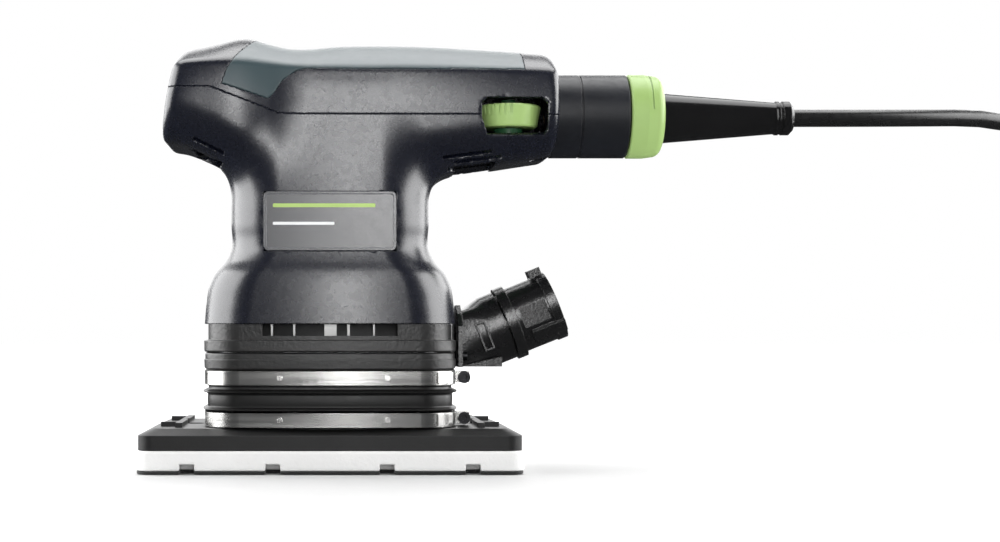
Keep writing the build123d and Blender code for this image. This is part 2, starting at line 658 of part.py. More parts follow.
with BuildPart() as armature_windings:
    for z_low, z_high in ((CORE_Z[0] - 5, CORE_Z[0]), (CORE_Z[1], CORE_Z[1] + 5)):
        with BuildSketch(Plane.XY.offset(z_low)):
            Circle(14.2)
            Circle(SHAFT_R + 0.6, mode=Mode.SUBTRACT)
        extrude(amount=z_high - z_low)
    fillet(armature_windings.edges().filter_by(GeomType.CIRCLE).group_by(SortBy.RADIUS)[-1], 1.8)
    with BuildSketch(Plane.XY.offset(CORE_Z[0] - 1)):
        with PolarLocations(CORE_R - 3.0, 12):
            Rectangle(4.2, 1.9)
    extrude(amount=CORE_Z[1] - CORE_Z[0] + 2)
armature_windings.part.label = "armature_windings"
export_step(armature_windings.part, "parts/armature_windings.step")

with BuildPart() as commutator:
    radius, z_low, z_high = COMMUTATOR
    with BuildSketch(Plane.XY.offset(z_low)):
        Circle(radius)
        with PolarLocations(radius, 24):
            Rectangle(1.6, 0.4, mode=Mode.SUBTRACT)
        Circle(SHAFT_R + 0.01, mode=Mode.SUBTRACT)
    extrude(amount=z_high - z_low)
commutator.part.label = "commutator"
export_step(commutator.part, "parts/commutator.step")

FAN_R, FAN_HUB_R, FAN_BLADES = 28.5, 9.0, 12
with BuildPart() as cooling_fan:
    with BuildSketch(Plane.XY.offset(FAN_Z[1] - 1.4)):
        Circle(FAN_R)
    extrude(amount=1.4)
    with BuildSketch(Plane.XY.offset(FAN_Z[0])):
        Circle(FAN_HUB_R)
        with PolarLocations((FAN_R + FAN_HUB_R) / 2 - 0.6, FAN_BLADES):
            Rectangle(FAN_R - FAN_HUB_R, 1.2, rotation=12)
    extrude(amount=FAN_Z[1] - FAN_Z[0])
    add(disc(SHAFT_LOW_R + 0.01, 50, 62), mode=Mode.SUBTRACT)
cooling_fan.part.label = "cooling_fan"
export_step(cooling_fan.part, "parts/cooling_fan.step")

with BuildPart() as stator_core:
    with BuildSketch(Plane.XY.offset(CORE_Z[0])):
        RectangleRounded(60.0, 54.0, 12)
        SlotOverall(52.0, 2 * STATOR_BORE + 2, mode=Mode.SUBTRACT)
        with Locations((0, 22.5), (0, -22.5)):
            Rectangle(26.0, 12.0)
        Circle(STATOR_BORE, mode=Mode.SUBTRACT)
    extrude(amount=CORE_Z[1] - CORE_Z[0])
stator_core.part.label = "stator_core"
export_step(stator_core.part, "parts/stator_core.step")

with BuildPart() as field_coils:
    for z_low in (CORE_Z[0] - 5.5, CORE_Z[1] + 0.1):
        with BuildSketch(Plane.XY.offset(z_low)):
            Circle(25.5)
            Circle(STATOR_BORE + 0.6, mode=Mode.SUBTRACT)
            Rectangle(9.0, 60.0, mode=Mode.SUBTRACT)
        extrude(amount=5.4)
field_coils.part.label = "field_coils"
export_step(field_coils.part, "parts/field_coils.step")

with BuildPart() as brush_carrier:
    # plastic bridge over the motor: seats the upper bearing and both brush holders
    add(disc(UPPER_BEARING[0] + 2.6, 110.8, UPPER_BEARING[2] + 0.6))
    with BuildSketch(Plane.XY.offset(110.8)):
        Rectangle(66.0, 15.0)
    extrude(amount=3.2)
    for side in (-1, 1):
        with BuildSketch(Plane.XY.offset(99.8)):
            with Locations((side * 31.9, 0)):
                Rectangle(2.2, 15.0)
        extrude(amount=11.1)
    add(disc(UPPER_BEARING[0], UPPER_BEARING[1], 125), mode=Mode.SUBTRACT)
    add(disc(7.0, 110, 125), mode=Mode.SUBTRACT)
brush_carrier.part.label = "brush_carrier"
export_step(brush_carrier.part, "parts/brush_carrier.step")

with BuildPart() as brush_holders:
    for side in (-1, 1):
        with Locations((side * 20.4, 0, BRUSH_Z)):
            Box(20.4, 10.0, 10.4)
            Box(20.6, 8.02, 8.42, mode=Mode.SUBTRACT)
brush_holders.part.label = "brush_holders"
export_step(brush_holders.part, "parts/brush_holders.step")

with BuildPart() as carbon_brushes:
    for side in (-1, 1):
        with Locations((side * 15.3, 0, BRUSH_Z)):
            Box(12.0, 8.0, 8.4)
carbon_brushes.part.label = "carbon_brushes"
export_step(carbon_brushes.part, "parts/carbon_brushes.step")

with BuildPart() as brush_springs:
    # conical springs drawn as stacked wire turns joined by a core strip
    for side in (-1, 1):
        for turn in range(5):
            with Locations(Location((side * (22.2 + 1.9 * turn), 0, BRUSH_Z), (0, 90, 0))):
                Torus(3.0, 0.45)
        with Locations((side * 26.0, 0, BRUSH_Z + 3.0)):
            Box(9.2, 0.5, 0.7)
brush_springs.part.label = "brush_springs"
export_step(brush_springs.part, "parts/brush_springs.step")

BRACKET_SCREWS = ((-14, -29), (14, -29), (-14, 29), (14, 29))
with BuildPart() as bearing_bracket:
    # die-cast plate across the ring: carries the lower bearing and the swing legs
    add(slab(ring_outline(5.3), 39.4, 44.6))
    add(slab(ring_outline(8.5), 42.0, 45.0), mode=Mode.SUBTRACT)
    add(disc(LOWER_BEARING[0] + 3.0, 39.4, LOWER_BEARING[2] + 0.8))
    for spot in LEG_SPOTS:
        add(disc(LEG_R + 2.2, 37.6, 44.6, spot))
    add(disc(LOWER_BEARING[0], LOWER_BEARING[1], 60), mode=Mode.SUBTRACT)
    add(disc(10.8, 39, 60), mode=Mode.SUBTRACT)
    for spot in LEG_SPOTS:
        add(disc(LEG_R + 0.02, 30, 41.6, spot), mode=Mode.SUBTRACT)
    for spot in BRACKET_SCREWS:
        add(disc(1.8, 38, 46, spot), mode=Mode.SUBTRACT)
    add(port_hole.part, mode=Mode.SUBTRACT)
bearing_bracket.part.label = "bearing_bracket"
export_step(bearing_bracket.part, "parts/bearing_bracket.step")

with BuildPart() as bracket_screws:
    for spot in BRACKET_SCREWS:
        add(disc(1.75, 39.4, 45.8, spot))
        add(disc(3.2, 37.2, 39.4, spot))
        with BuildSketch(Plane.XY.offset(37.2)):
            with Locations(spot):
                RegularPolygon(1.3, 6)
        extrude(amount=1.3, mode=Mode.SUBTRACT)
bracket_screws.part.label = "bracket_screws"
export_step(bracket_screws.part, "parts/bracket_screws.step")

with BuildPart() as swing_legs:
    # rubber columns between bracket and pad: they bend as the pad orbits
    for x, y in LEG_SPOTS:
        with BuildSketch(Plane.XZ.offset(-y)):
            with BuildLine():
                Polyline((x, 14.9), (x + LEG_R, 14.9), (x + LEG_R, 19.0), (x + LEG_WAIST_R, 21.5),
                         (x + LEG_WAIST_R, 33.5), (x + LEG_R, 36.0), (x + LEG_R, 41.5), (x, 41.5),
                         close=True)
            make_face()
        revolve(axis=Axis((x, y, 0), (0, 0, 1)))
swing_legs.part.label = "swing_legs"
export_step(swing_legs.part, "parts/swing_legs.step")

# ------------------------------------------------------------------ dust outlet
SPIGOT_R, SPIGOT_BORE_R, SPIGOT_T = 10.6, 9.0, 9.0
with BuildPart() as dust_elbow:
    # flange on the ring, a body that leans up into a round branch, and the swivel's spigot
    with BuildSketch(along_x(45.0, z=46.0)):
        with BuildLine():
            Polyline((-16, -10.3), (16, -10.3), (16, 4), (11, 8.5), (3, 11.6), (-3, 11.6), (-11, 8.5),
                     (-16, 4), close=True)
        make_face()
    extrude(amount=1.6)
    with BuildSketch(along_x(45.8, z=45.6)):
        RectangleRounded(25.0, 19.6, 5)
    with BuildSketch(along_branch(-5.5)):
        Circle(12.55)
    loft()
    with BuildSketch(along_branch(-6)):
        Circle(12.55)
    extrude(amount=5.6)
    with BuildSketch(Plane.XY.offset(35.7)):
        with Locations((53.3, 0)):
            Rectangle(15.8, 15.0)
    extrude(amount=6)
    with BuildSketch(along_branch(-1)):
        Circle(SPIGOT_R)
    extrude(amount=SPIGOT_T + 1)
    # raised frame on both sides of the body
    for side in (-1, 1):
        with BuildSketch(Plane(origin=(54.6, side * 12.2, 46.6), x_dir=(cos(radians(PORT_TILT)), 0,
                         sin(radians(PORT_TILT))), z_dir=(0, side, 0))):
            Rectangle(3.6, 10.6)
            Rectangle(2.4, 9.2, mode=Mode.SUBTRACT)
        extrude(amount=0.7)
    with BuildSketch(along_branch(-8)):
        Circle(SPIGOT_BORE_R)
    extrude(amount=30, mode=Mode.SUBTRACT)
    add(port_hole.part, mode=Mode.SUBTRACT)
dust_elbow.part.label = "dust_elbow"
export_step(dust_elbow.part, "parts/dust_elbow.step")

with BuildPart() as hose_connector:
    with BuildSketch(along_branch(0.2)):
        Circle(13.4)
    extrude(amount=3.6)
    with BuildSketch(along_branch(1)):
        Circle(CONNECTOR_R)
    extrude(amount=CONNECTOR_END - 1)
    with BuildSketch(along_branch(CONNECTOR_END - 3.4)):
        Circle(CONNECTOR_R + 0.45)
    extrude(amount=3.4)
    # one bayonet lug on top, two long ribs low on the sides
    with BuildSketch(along_branch(CONNECTOR_END - 5.2)):
        with Locations((0, CONNECTOR_R + 0.7)):
            Rectangle(7.0, 4.0)
    extrude(amount=4.6)
    with BuildSketch(along_branch(CONNECTOR_END - 12.0)):
        with PolarLocations(CONNECTOR_R, 2, start_angle=216, angular_range=108, endpoint=True):
            Rectangle(2.6, 4.6)
    extrude(amount=12.0)
    # sunk grip windows
    tilt = radians(PORT_TILT)
    window_t = CONNECTOR_END - 9.0
    for side in (-1, 1):
        with BuildSketch(Plane(origin=(PORT_POINT[0] + window_t * cos(tilt), side * (CONNECTOR_R - 0.6),
                         PORT_POINT[2] + window_t * sin(tilt)), x_dir=(cos(tilt), 0, sin(tilt)),
                         z_dir=(0, side, 0))):
            Rectangle(9.6, 9.0)
        extrude(amount=4, mode=Mode.SUBTRACT)
    with BuildSketch(along_branch(-1)):
        Circle(SPIGOT_R + FIT)
    extrude(amount=SPIGOT_T + 2, mode=Mode.SUBTRACT)
    with BuildSketch(along_branch(SPIGOT_T)):
        Circle(CONNECTOR_BORE_R)
    extrude(amount=14, mode=Mode.SUBTRACT)
hose_connector.part.label = "hose_connector"
export_step(hose_connector.part, "parts/hose_connector.step")

with BuildPart() as elbow_screws:
    for y in (-14.2, 14.2):
        with BuildSketch(along_x(46.6, y, 39.5)):
            Circle(1.65)
        extrude(amount=1.6)
        with BuildSketch(along_x(47.2, y, 39.5)):
            RegularPolygon(0.8, 6)
        extrude(amount=1.4, mode=Mode.SUBTRACT)
elbow_screws.part.label = "elbow_screws"
export_step(elbow_screws.part, "parts/elbow_screws.step")

# ------------------------------------------------------------------ speed wheel and switch
with BuildPart() as speed_wheel:
    with BuildSketch(Plane.XY.offset(WHEEL_Z[0])) as wheel_low:
        with Locations((WHEEL_X, WHEEL_Y)):
            Circle(WHEEL_LOW_R)
    with BuildSketch(Plane.XY.offset(WHEEL_Z[1])) as wheel_high:
        with Locations((WHEEL_X, WHEEL_Y)):
            Circle(WHEEL_R)
    loft()
    chamfer(speed_wheel.edges().filter_by(GeomType.CIRCLE), 0.5)
    # grip ribs round the rim, left out where the scale is printed
    for rib in range(WHEEL_RIBS):
        angle = 360 * rib / WHEEL_RIBS
        if WHEEL_PLAIN[0] < angle < WHEEL_PLAIN[1]:
            continue
        with Locations(Location((WHEEL_X + (WHEEL_R + 0.1) * cos(radians(angle)),
                                 WHEEL_Y + (WHEEL_R + 0.1) * sin(radians(angle)), 123.0), (0, 0, angle))):
            Box(1.6, 0.9, 9, mode=Mode.SUBTRACT)
    add(disc(2.55, 110, 130, (WHEEL_X, WHEEL_Y)), mode=Mode.SUBTRACT)
speed_wheel.part.label = "speed_wheel"
export_step(speed_wheel.part, "parts/speed_wheel.step")

with BuildPart() as speed_control:
    # circuit board with the dimmer post that the wheel turns on
    with BuildSketch(Plane.XY.offset(114.0)):
        with Locations((57, -3)):
            Rectangle(30, 32)
    extrude(amount=1.6)
    add(disc(5.0, 115.6, 118.8, (WHEEL_X, WHEEL_Y)))
    add(disc(2.5, 115.6, 129.0, (WHEEL_X, WHEEL_Y)))
    with Locations((50, 4, 119)):
        Box(9, 12, 7)
    with Locations((62, 8, 118)):
        Box(7, 7, 5)
speed_control.part.label = "speed_control"
export_step(speed_control.part, "parts/speed_control.step")

with BuildPart() as switch_rocker:
    width, height = ROCKER_SIZE
    with BuildSketch(Plane.XZ.offset(-width / 2)):
        with BuildLine():
            Polyline((0, -height / 2), (-0.2, -height / 2 + 0.6), (0.25, 0), (-0.9, height / 2 - 0.7),
                     (0, height / 2), (7.0, height / 2 - 1.4), (7.0, -height / 2 + 1.4), close=True)
        make_face()
    extrude(amount=width)
switch_rocker.part = switch_rocker.part.moved(
    Location(Plane(origin=(nose_face * Pos(0, ROCKER_RISE, 0)).position, x_dir=(sin(nose_lean), 0,
             -cos(nose_lean)), z_dir=(cos(nose_lean), 0, sin(nose_lean))))
)
switch_rocker.part.label = "switch_rocker"
export_step(switch_rocker.part, "parts/switch_rocker.step")

with BuildPart() as switch_body:
    with Locations((-40.5, 0, 137.0)):
        Box(12.0, 18.0, 15.0)
    for y in (-5, 5):
        with Locations((-32.0, y, 137.0)):
            Box(6.0, 0.8, 5.0)
switch_body.part.label = "switch_body"
export_step(switch_body.part, "parts/switch_body.step")

# ------------------------------------------------------------------ cable inlet and plug
with BuildPart() as inlet_collar:
    x_low, x_high = INLET_X
    with BuildSketch(along_x(x_low - 2.5)):
        Circle(INLET_R)
    extrude(amount=x_high - x_low + 2.5)
    add(outer_form.part, mode=Mode.SUBTRACT)
    chamfer(inlet_collar.faces().sort_by(Axis.X)[-1].edges(), 0.5)
    with BuildSketch(along_x(88.6)):
        Circle(INLET_R + 1)
        Circle(INLET_R - 0.45, mode=Mode.SUBTRACT)
    extrude(amount=0.8, mode=Mode.SUBTRACT)
    with BuildSketch(along_x(84.8)):
        Circle(12.6)
    extrude(amount=30, mode=Mode.SUBTRACT)
    with BuildSketch(along_x(INLET_TAIL_X)):
        Circle(11.4)
    extrude(amount=84.8 - INLET_TAIL_X)
    for y in (-4.75, 4.75):
        with BuildSketch(along_x(60.0, y)):
            Circle(2.01)
        extrude(amount=30, mode=Mode.SUBTRACT)
inlet_collar.part.label = "inlet_collar"
export_step(inlet_collar.part, "parts/inlet_collar.step")

with BuildPart() as inlet_pins:
    for y in (-4.75, 4.75):
        with BuildSketch(along_x(INLET_TAIL_X, y)):
            Circle(2.0)
        extrude(amount=100 - INLET_TAIL_X)
inlet_pins.part.label = "inlet_pins"
export_step(inlet_pins.part, "parts/inlet_pins.step")

with BuildPart() as plug_core:
    with BuildSketch(along_x(92.0)):
        Circle(PLUG_CORE_R)
    extrude(amount=RELIEF_X[0] - 92.0)
    for y in (-4.75, 4.75):
        with BuildSketch(along_x(91.0, y)):
            Circle(2.4)
        extrude(amount=12, mode=Mode.SUBTRACT)
plug_core.part.label = "plug_core"
export_step(plug_core.part, "parts/plug_core.step")

with BuildPart() as lock_ring:
    x_low, x_high = LOCK_X
    with BuildSketch(Plane.XZ):
        with BuildLine():
            outline = Polyline((x_low, PLUG_CORE_R + GAP), (x_low, 14.4), (x_low + 0.5, 14.95),
                               (x_low + 6.0, 14.95), (x_low + 9.2, 14.5))
            ThreePointArc(outline @ 1, (x_high - 1.2, 13.6), (x_high - 0.3, 12.0))
            Polyline((x_high - 0.3, 12.0), (x_high - 0.3, PLUG_CORE_R + GAP), (x_low, PLUG_CORE_R + GAP))
        make_face()
    revolve(axis=Axis.X)
    with BuildSketch(along_x(x_high - 5.2, z=0)):
        Circle(18)
        Circle(14.35, mode=Mode.SUBTRACT)
        with Locations((0, -10)):
            Rectangle(60, 22, mode=Mode.SUBTRACT)
    extrude(amount=0.5, mode=Mode.SUBTRACT)
lock_ring.part = lock_ring.part.moved(Location((0, 0, INLET_Z)))
lock_ring.part.label = "lock_ring"
export_step(lock_ring.part, "parts/lock_ring.step")

with BuildPart() as strain_relief:
    x_low, x_mid, x_high = RELIEF_X
    with BuildSketch(Plane.XZ):
        with BuildLine():
            Polyline((x_low, 0), (x_low, 9.0), (x_mid, 5.7), (x_mid + 0.4, 6.1), (x_mid + 1.4, 6.1),
                     (x_mid + 1.7, 5.7), (x_mid + 2.3, 5.7), (x_mid + 2.6, 6.1), (x_high - 1.2, 6.1),
                     (x_high, 4.9), (x_high, 0), close=True)
        make_face()
    revolve(axis=Axis.X)
strain_relief.part = strain_relief.part.moved(Location((0, 0, CORD_Z)))
strain_relief.part.label = "strain_relief"
export_step(strain_relief.part, "parts/strain_relief.step")

# ------------------------------------------------------------------ mains cord
# The lead runs straight out, swings aside and bends down to the floor beside the coil. The
# tail rises from the coil's top to the mains plug that lies on it.
LEAD = (
    (RELIEF_X[2], 0, CORD_Z), (196, 0, 124.9), (264, 26, 128.5), (290, 31, 98), (295, 34, 68),
    (300, 45, 40), (314, 56, 18), (336, 57, 6), (358.5, 47.9, 3.4),
)
TAIL = (
    (288, -4, 22.3), (291, 19, 26.0), (304, 34, 31.5), (324, 39, 36.8),
    (MAINS_PLUG[0], MAINS_PLUG[1], MAINS_PLUG[2]),
)


def corner_radii(points):
    """Radius of the arc at each inner point: as large as its two runs allow."""
    radii = []
    for before, here, after in zip(points, points[1:], points[2:]):
        run_in, run_out = Vector(here) - Vector(before), Vector(after) - Vector(here)
        half_turn = radians(run_in.get_angle(run_out)) / 2
        radii.append(0.45 * min(run_in.length, run_out.length) / tan(half_turn))
    return radii


def cord_tube(points):
    """A round cord along straight runs joined by tangent arcs."""
    radii = corner_radii(points)
    print("cord radii", [round(r, 1) for r in radii])
    with BuildPart() as tube:
        with BuildLine() as route:
            FilletPolyline(*points, radius=radii)
        with BuildSketch(Plane(origin=points[0], z_dir=Vector(points[1]) - Vector(points[0]))):
            Circle(CORD_R)
        sweep()
    length = sum(edge.length for edge in route.edges())
    print("length", round(length, 1), "volume ratio", round(tube.part.volume / (pi * CORD_R**2 * length), 4))
    return tube.part


with BuildPart() as cord_lead:
    add(cord_tube(LEAD))
cord_lead.part.label = "cord_lead"
export_step(cord_lead.part, "parts/cord_lead.step")

with BuildPart() as cord_tail:
    add(cord_tube(TAIL))
cord_tail.part.label = "cord_tail"
export_step(cord_tail.part, "parts/cord_tail.step")

with BuildPart() as cord_coil:
    with BuildSketch(Plane.XY.offset(0.05)):
        with Locations(COIL_CENTRE):
            Circle(COIL_R[1])
            Circle(COIL_R[0], mode=Mode.SUBTRACT)
    extrude(amount=COIL_H - 0.05)
    fillet(cord_coil.edges().filter_by(GeomType.CIRCLE).group_by(SortBy.RADIUS)[-1], 2.8)
cord_coil.part.label = "cord_coil"
export_step(cord_coil.part, "parts/cord_coil.step")

plug_x, plug_y, plug_z = MAINS_PLUG
with BuildPart() as mains_plug:
    # tapered relief, waist and a face with two flats, pins towards +X
    sections = ((0.0, 8.6, 8.6, 4.2), (14.0, 12.5, 12.5, 6.2), (20.0, 22.0, 19.0, 8.5),
                (26.0, 31.0, 25.0, 11.0), (33.0, 37.0, 27.0, 13.2))
    for offset_x, width, height, corner in sections:
        with BuildSketch(along_x(plug_x + offset_x, plug_y, plug_z)):
            RectangleRounded(width, height, corner)
    loft(ruled=True)
    with BuildSketch(along_x(plug_x + PLUG_LENGTH, plug_y, plug_z)):
        RectangleRounded(37.0, 27.0, 13.2)
    extrude(amount=9.0)
    for y in (-9.5, 9.5):
        with BuildSketch(along_x(plug_x + PLUG_LENGTH, plug_y + y, plug_z)):
            Circle(2.41)
        extrude(amount=12, mode=Mode.SUBTRACT)
mains_plug.part.label = "mains_plug"
export_step(mains_plug.part, "parts/mains_plug.step")

with BuildPart() as mains_pins:
    for y in (-9.5, 9.5):
        with BuildSketch(along_x(plug_x + PLUG_LENGTH, plug_y + y, plug_z)):
            Circle(2.4)
        extrude(amount=28.0)
    fillet(mains_pins.faces().sort_by(Axis.X)[-2:].edges(), 1.0)
mains_pins.part.label = "mains_pins"
export_step(mains_pins.part, "parts/mains_pins.step")
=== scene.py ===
import json
from math import atan2, cos, hypot, pi, radians, sin, sqrt

import bmesh
import bpy
import numpy as np
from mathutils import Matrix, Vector


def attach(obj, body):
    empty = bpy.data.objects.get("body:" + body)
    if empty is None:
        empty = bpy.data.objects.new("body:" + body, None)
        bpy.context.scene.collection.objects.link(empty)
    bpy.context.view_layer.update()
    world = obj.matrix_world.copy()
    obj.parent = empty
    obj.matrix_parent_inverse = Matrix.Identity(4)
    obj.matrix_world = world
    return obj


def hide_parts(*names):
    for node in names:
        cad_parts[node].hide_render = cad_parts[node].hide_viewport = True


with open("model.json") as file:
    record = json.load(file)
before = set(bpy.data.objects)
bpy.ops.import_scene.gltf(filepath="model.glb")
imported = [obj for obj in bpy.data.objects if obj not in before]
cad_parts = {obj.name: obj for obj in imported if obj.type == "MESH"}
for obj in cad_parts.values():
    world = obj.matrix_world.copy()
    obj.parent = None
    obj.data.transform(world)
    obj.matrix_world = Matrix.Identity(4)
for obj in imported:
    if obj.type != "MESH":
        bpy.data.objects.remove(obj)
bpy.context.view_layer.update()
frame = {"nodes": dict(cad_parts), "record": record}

# Palm orbital finishing sander. Shapes are worked out in millimetres and written in metres.
MM = 0.001
NODES = frame["nodes"]


def link(obj):
    bpy.context.scene.collection.objects.link(obj)
    return obj


# ------------------------------------------------------------------ camera
def make_camera():
    """Level camera in front of the sander, a little above the pad."""
    data = bpy.data.cameras.new("camera")
    data.lens = 61.2
    data.shift_x, data.shift_y = 0.17, 0.061
    camera = link(bpy.data.objects.new("camera", data))
    camera.location = (0.0, -0.612, 0.048)
    camera.rotation_euler = (radians(90), 0, 0)
    bpy.context.scene.camera = camera


make_camera()

# ------------------------------------------------------------------ mains cord
CORD_D = 6.2
CORD_EXIT = (166.0, 0, 124.9)
LEAD = (
    CORD_EXIT, (196, 0, 124.9), (264, 26, 128.5), (290, 31, 98), (295, 34, 68), (300, 45, 40),
    (314, 56, 18), (336, 57, 6), (358.5, 47.9, 3.4),
)
TAIL = ((288, -4, 22.3), (291, 19, 26), (304, 34, 31.5), (324, 39, 36.8), (343, 37, 38.8))
COIL_CENTRE = (338.0, 1.0)
COIL_OUTER, COIL_PITCH = 49.0, 6.3  # radius of the outermost turn and distance between turns
LANES, LAYERS = 4, 4
STEPS = 16  # control points in a turn
FIRST_ANGLE, LAST_ANGLE = -50.0, 174.0
STEP_OVER = 0.25  # share of a turn in which the cord moves over to its next place


def coil_points():
    """The coil's turns: each layer winds from lane to lane, then the next layer goes back."""
    pull_in = (6 + 2 * cos(2 * pi / STEPS)) / 8  # a NURBS of order 3 runs inside its points
    points = []
    turns = LANES * LAYERS - 1
    last = turns * STEPS + round((LAST_ANGLE - FIRST_ANGLE) / 360 * STEPS) - STEPS
    for step in range(last + 1):
        turn, part = divmod(step / STEPS, 1.0)
        share = min(max((part - 1 + STEP_OVER) / STEP_OVER, 0), 1)
        here = turn + share * share * (3 - 2 * share)
        layer, along = divmod(turn, LANES)
        lane = along if layer % 2 == 0 else LANES - 1 - along
        climb = 0.0
        if along == LANES - 1:
            climb = here - turn
        else:
            lane += (here - turn) * (1 if layer % 2 == 0 else -1)
        radius = (COIL_OUTER - lane * COIL_PITCH) / pull_in
        angle = -radians(FIRST_ANGLE + 360 * step / STEPS)
        points.append((
            COIL_CENTRE[0] + radius * cos(angle), COIL_CENTRE[1] + radius * sin(angle),
            3.2 + COIL_PITCH * (layer + climb),
        ))
    return points


def make_cord():
    """One smooth NURBS line: lead, coil and tail, with a round section."""
    route = list(LEAD) + coil_points() + list(TAIL)
    curve = bpy.data.curves.new("mains_cord", "CURVE")
    curve.dimensions = "3D"
    spline = curve.splines.new("NURBS")
    spline.points.add(len(route) - 1)
    for point, place in zip(spline.points, route):
        point.co = (*(value * MM for value in place), 1.0)
        point.radius = CORD_D / 2 * MM  # a radius of 1 would put a metre on the object's box
    spline.order_u = 3
    spline.use_endpoint_u = True
    spline.resolution_u = 6
    curve.bevel_depth = 1.0
    curve.bevel_resolution = 5
    curve.use_fill_caps = True
    cord = link(bpy.data.objects.new("mains_cord", curve))
    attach(cord, "cable_plug")
    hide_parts("cord_lead", "cord_coil", "cord_tail")
    return cord


mains_cord = make_cord()


# ------------------------------------------------------------------ housing surface
# handle stations: x, underside z, crest z, crown half width, crown edge z, widest half width, its z
HANDLE = np.array((
    (-66, 111.5, 144.9, 27.0, 139.0, 30.0, 127.0),
    (-56, 113.8, 147.2, 29.5, 140.2, 32.5, 127.0),
    (-42, 109.2, 150.3, 30.5, 141.2, 33.0, 127.0),
    (-29, 103.2, 152.9, 29.6, 141.4, 32.3, 127.0),
    (-22, 102.4, 151.0, 28.3, 140.9, 31.0, 126.5),
    (-16, 102.0, 149.6, 27.2, 140.3, 29.6, 126.0),
    (6, 102.0, 150.3, 26.0, 139.6, 28.2, 125.0),
    (30, 103.0, 150.2, 25.8, 139.6, 28.0, 125.0),
    (56, 106.3, 148.8, 25.2, 139.2, 27.6, 125.0),
    (72, 108.7, 147.7, 24.6, 138.8, 27.0, 125.0),
    (86, 110.5, 146.8, 24.0, 138.2, 26.4, 125.0),
), dtype=float)
# neck stations: z, half length, half width, corner radius, bulge of the sides
NECK = np.array((
    (44.0, 44.9, 37.8, 14.0, 3.0),
    (50.9, 44.5, 37.5, 14.0, 3.0),
    (58.0, 43.9, 37.1, 14.0, 3.0),
    (64.5, 42.7, 36.4, 14.5, 2.8),
    (68.5, 40.6, 35.4, 15.0, 2.2),
    (72.5, 37.0, 34.0, 15.5, 1.6),
    (76.5, 35.0, 32.8, 16.0, 1.2),
    (86.0, 34.9, 32.6, 16.0, 1.2),
    (95.0, 34.9, 31.8, 16.0, 1.2),
    (105.0, 34.9, 29.0, 16.0, 1.2),
    (115.0, 34.9, 25.0, 16.0, 1.2),
    (128.0, 34.9, 18.0, 15.0, 1.2),
), dtype=float)
SKIRT_Z = 50.9
NOSE_FOOT, NOSE_TOP = (-59.2, 114.0), (-53.2, 146.0)
REAR_MID = (80.7, 129.0)
REAR_LEANS = (7.0, -5.7)
PARTING = ((-80, 132), (-41.5, 132), (-17.5, 123), (100, 123), (100, 170), (-80, 170))
INSERT = (
    (-24.8, 170), (-24.8, 153), (-32.4, 143.2), (-35.3, 138.2), (-37.0, 133.0), (-21.2, 127.9),
    (-19.1, 129.9), (-16.7, 134.0), (-14.3, 136.1), (-11.4, 138.1), (-8.5, 138.9),
    (67.5, 138.9), (67.5, 170),
)
NOSE_SLOTS = ((-41.9, 112.0), (-43.0, 108.9), (-43.1, 106.2))
REAR_SLOTS = ((47.6, 109.4), (51.6, 107.9), (49.8, 105.9))
SLOT_W = 1.2
WHEEL_WINDOW = (
    (54.3, 116), (74.3, 116), (75.3, 118), (75.3, 127), (73.3, 129), (54.3, 129), (52.3, 127), (52.3, 122),
)
ROCKER_RISE, ROCKER_HOLE = 21.5, (18.0, 13.0)
INLET_Z, INLET_HOLE_R = 125.4, 11.6
LABEL_HALF, LABEL_Z = 22.75, (75.65, 96.15)
HOUSING_SCREWS, SCREW_HOLE_R = ((-46, 12), (-46, -12), (74.2, 9), (74.2, -9)), 3.6
GRID = 0.8  # spacing of the surface grid
WALL_T, SKIN_T = 2.2, 1.3
# how softly the housing's surfaces run into each other
CREST_ROUND, BELLY_ROUND, NOSE_ROUND, REAR_ROUND, NECK_BLEND = 1.3, 16.0, 4.5, 4.0, 11.0
BELLY_FALL, SIDE_POWER = 0.02, 1.6  # how the sides draw in below and above their widest line
NECK_TOP, NECK_TOP_ROUND = 126.0, 4.0  # the neck ends inside the handle


def smooth_curve(table, column, at):
    """Smooth interpolation of one column of a station table."""
    x, y = table[:, 0], table[:, column]
    slope = np.gradient(y, x)
    i = np.clip(np.searchsorted(x, at) - 1, 0, len(x) - 2)
    span = x[i + 1] - x[i]
    t = np.clip((at - x[i]) / span, 0, 1)
    ends = y[i] * (1 + 2 * t) * (1 - t) ** 2 + y[i + 1] * t * t * (3 - 2 * t)
    return ends + span * (slope[i] * t * (1 - t) ** 2 + slope[i + 1] * t * t * (t - 1))


def soft_max(a, b, k):
    """max(a, b) with its corner rounded over k."""
    h = np.clip(0.5 + 0.5 * (a - b) / k, 0, 1)
    return b + (a - b) * h + k * h * (1 - h)


def soft_min(a, b, k):
    return -soft_max(-a, -b, k)


def lean_plane(x, z, foot, lean):
    """Distance in front of a plane through foot that leans back by some degrees."""
    return (x - foot[0]) * cos(radians(lean)) + (z - foot[1]) * sin(radians(lean))


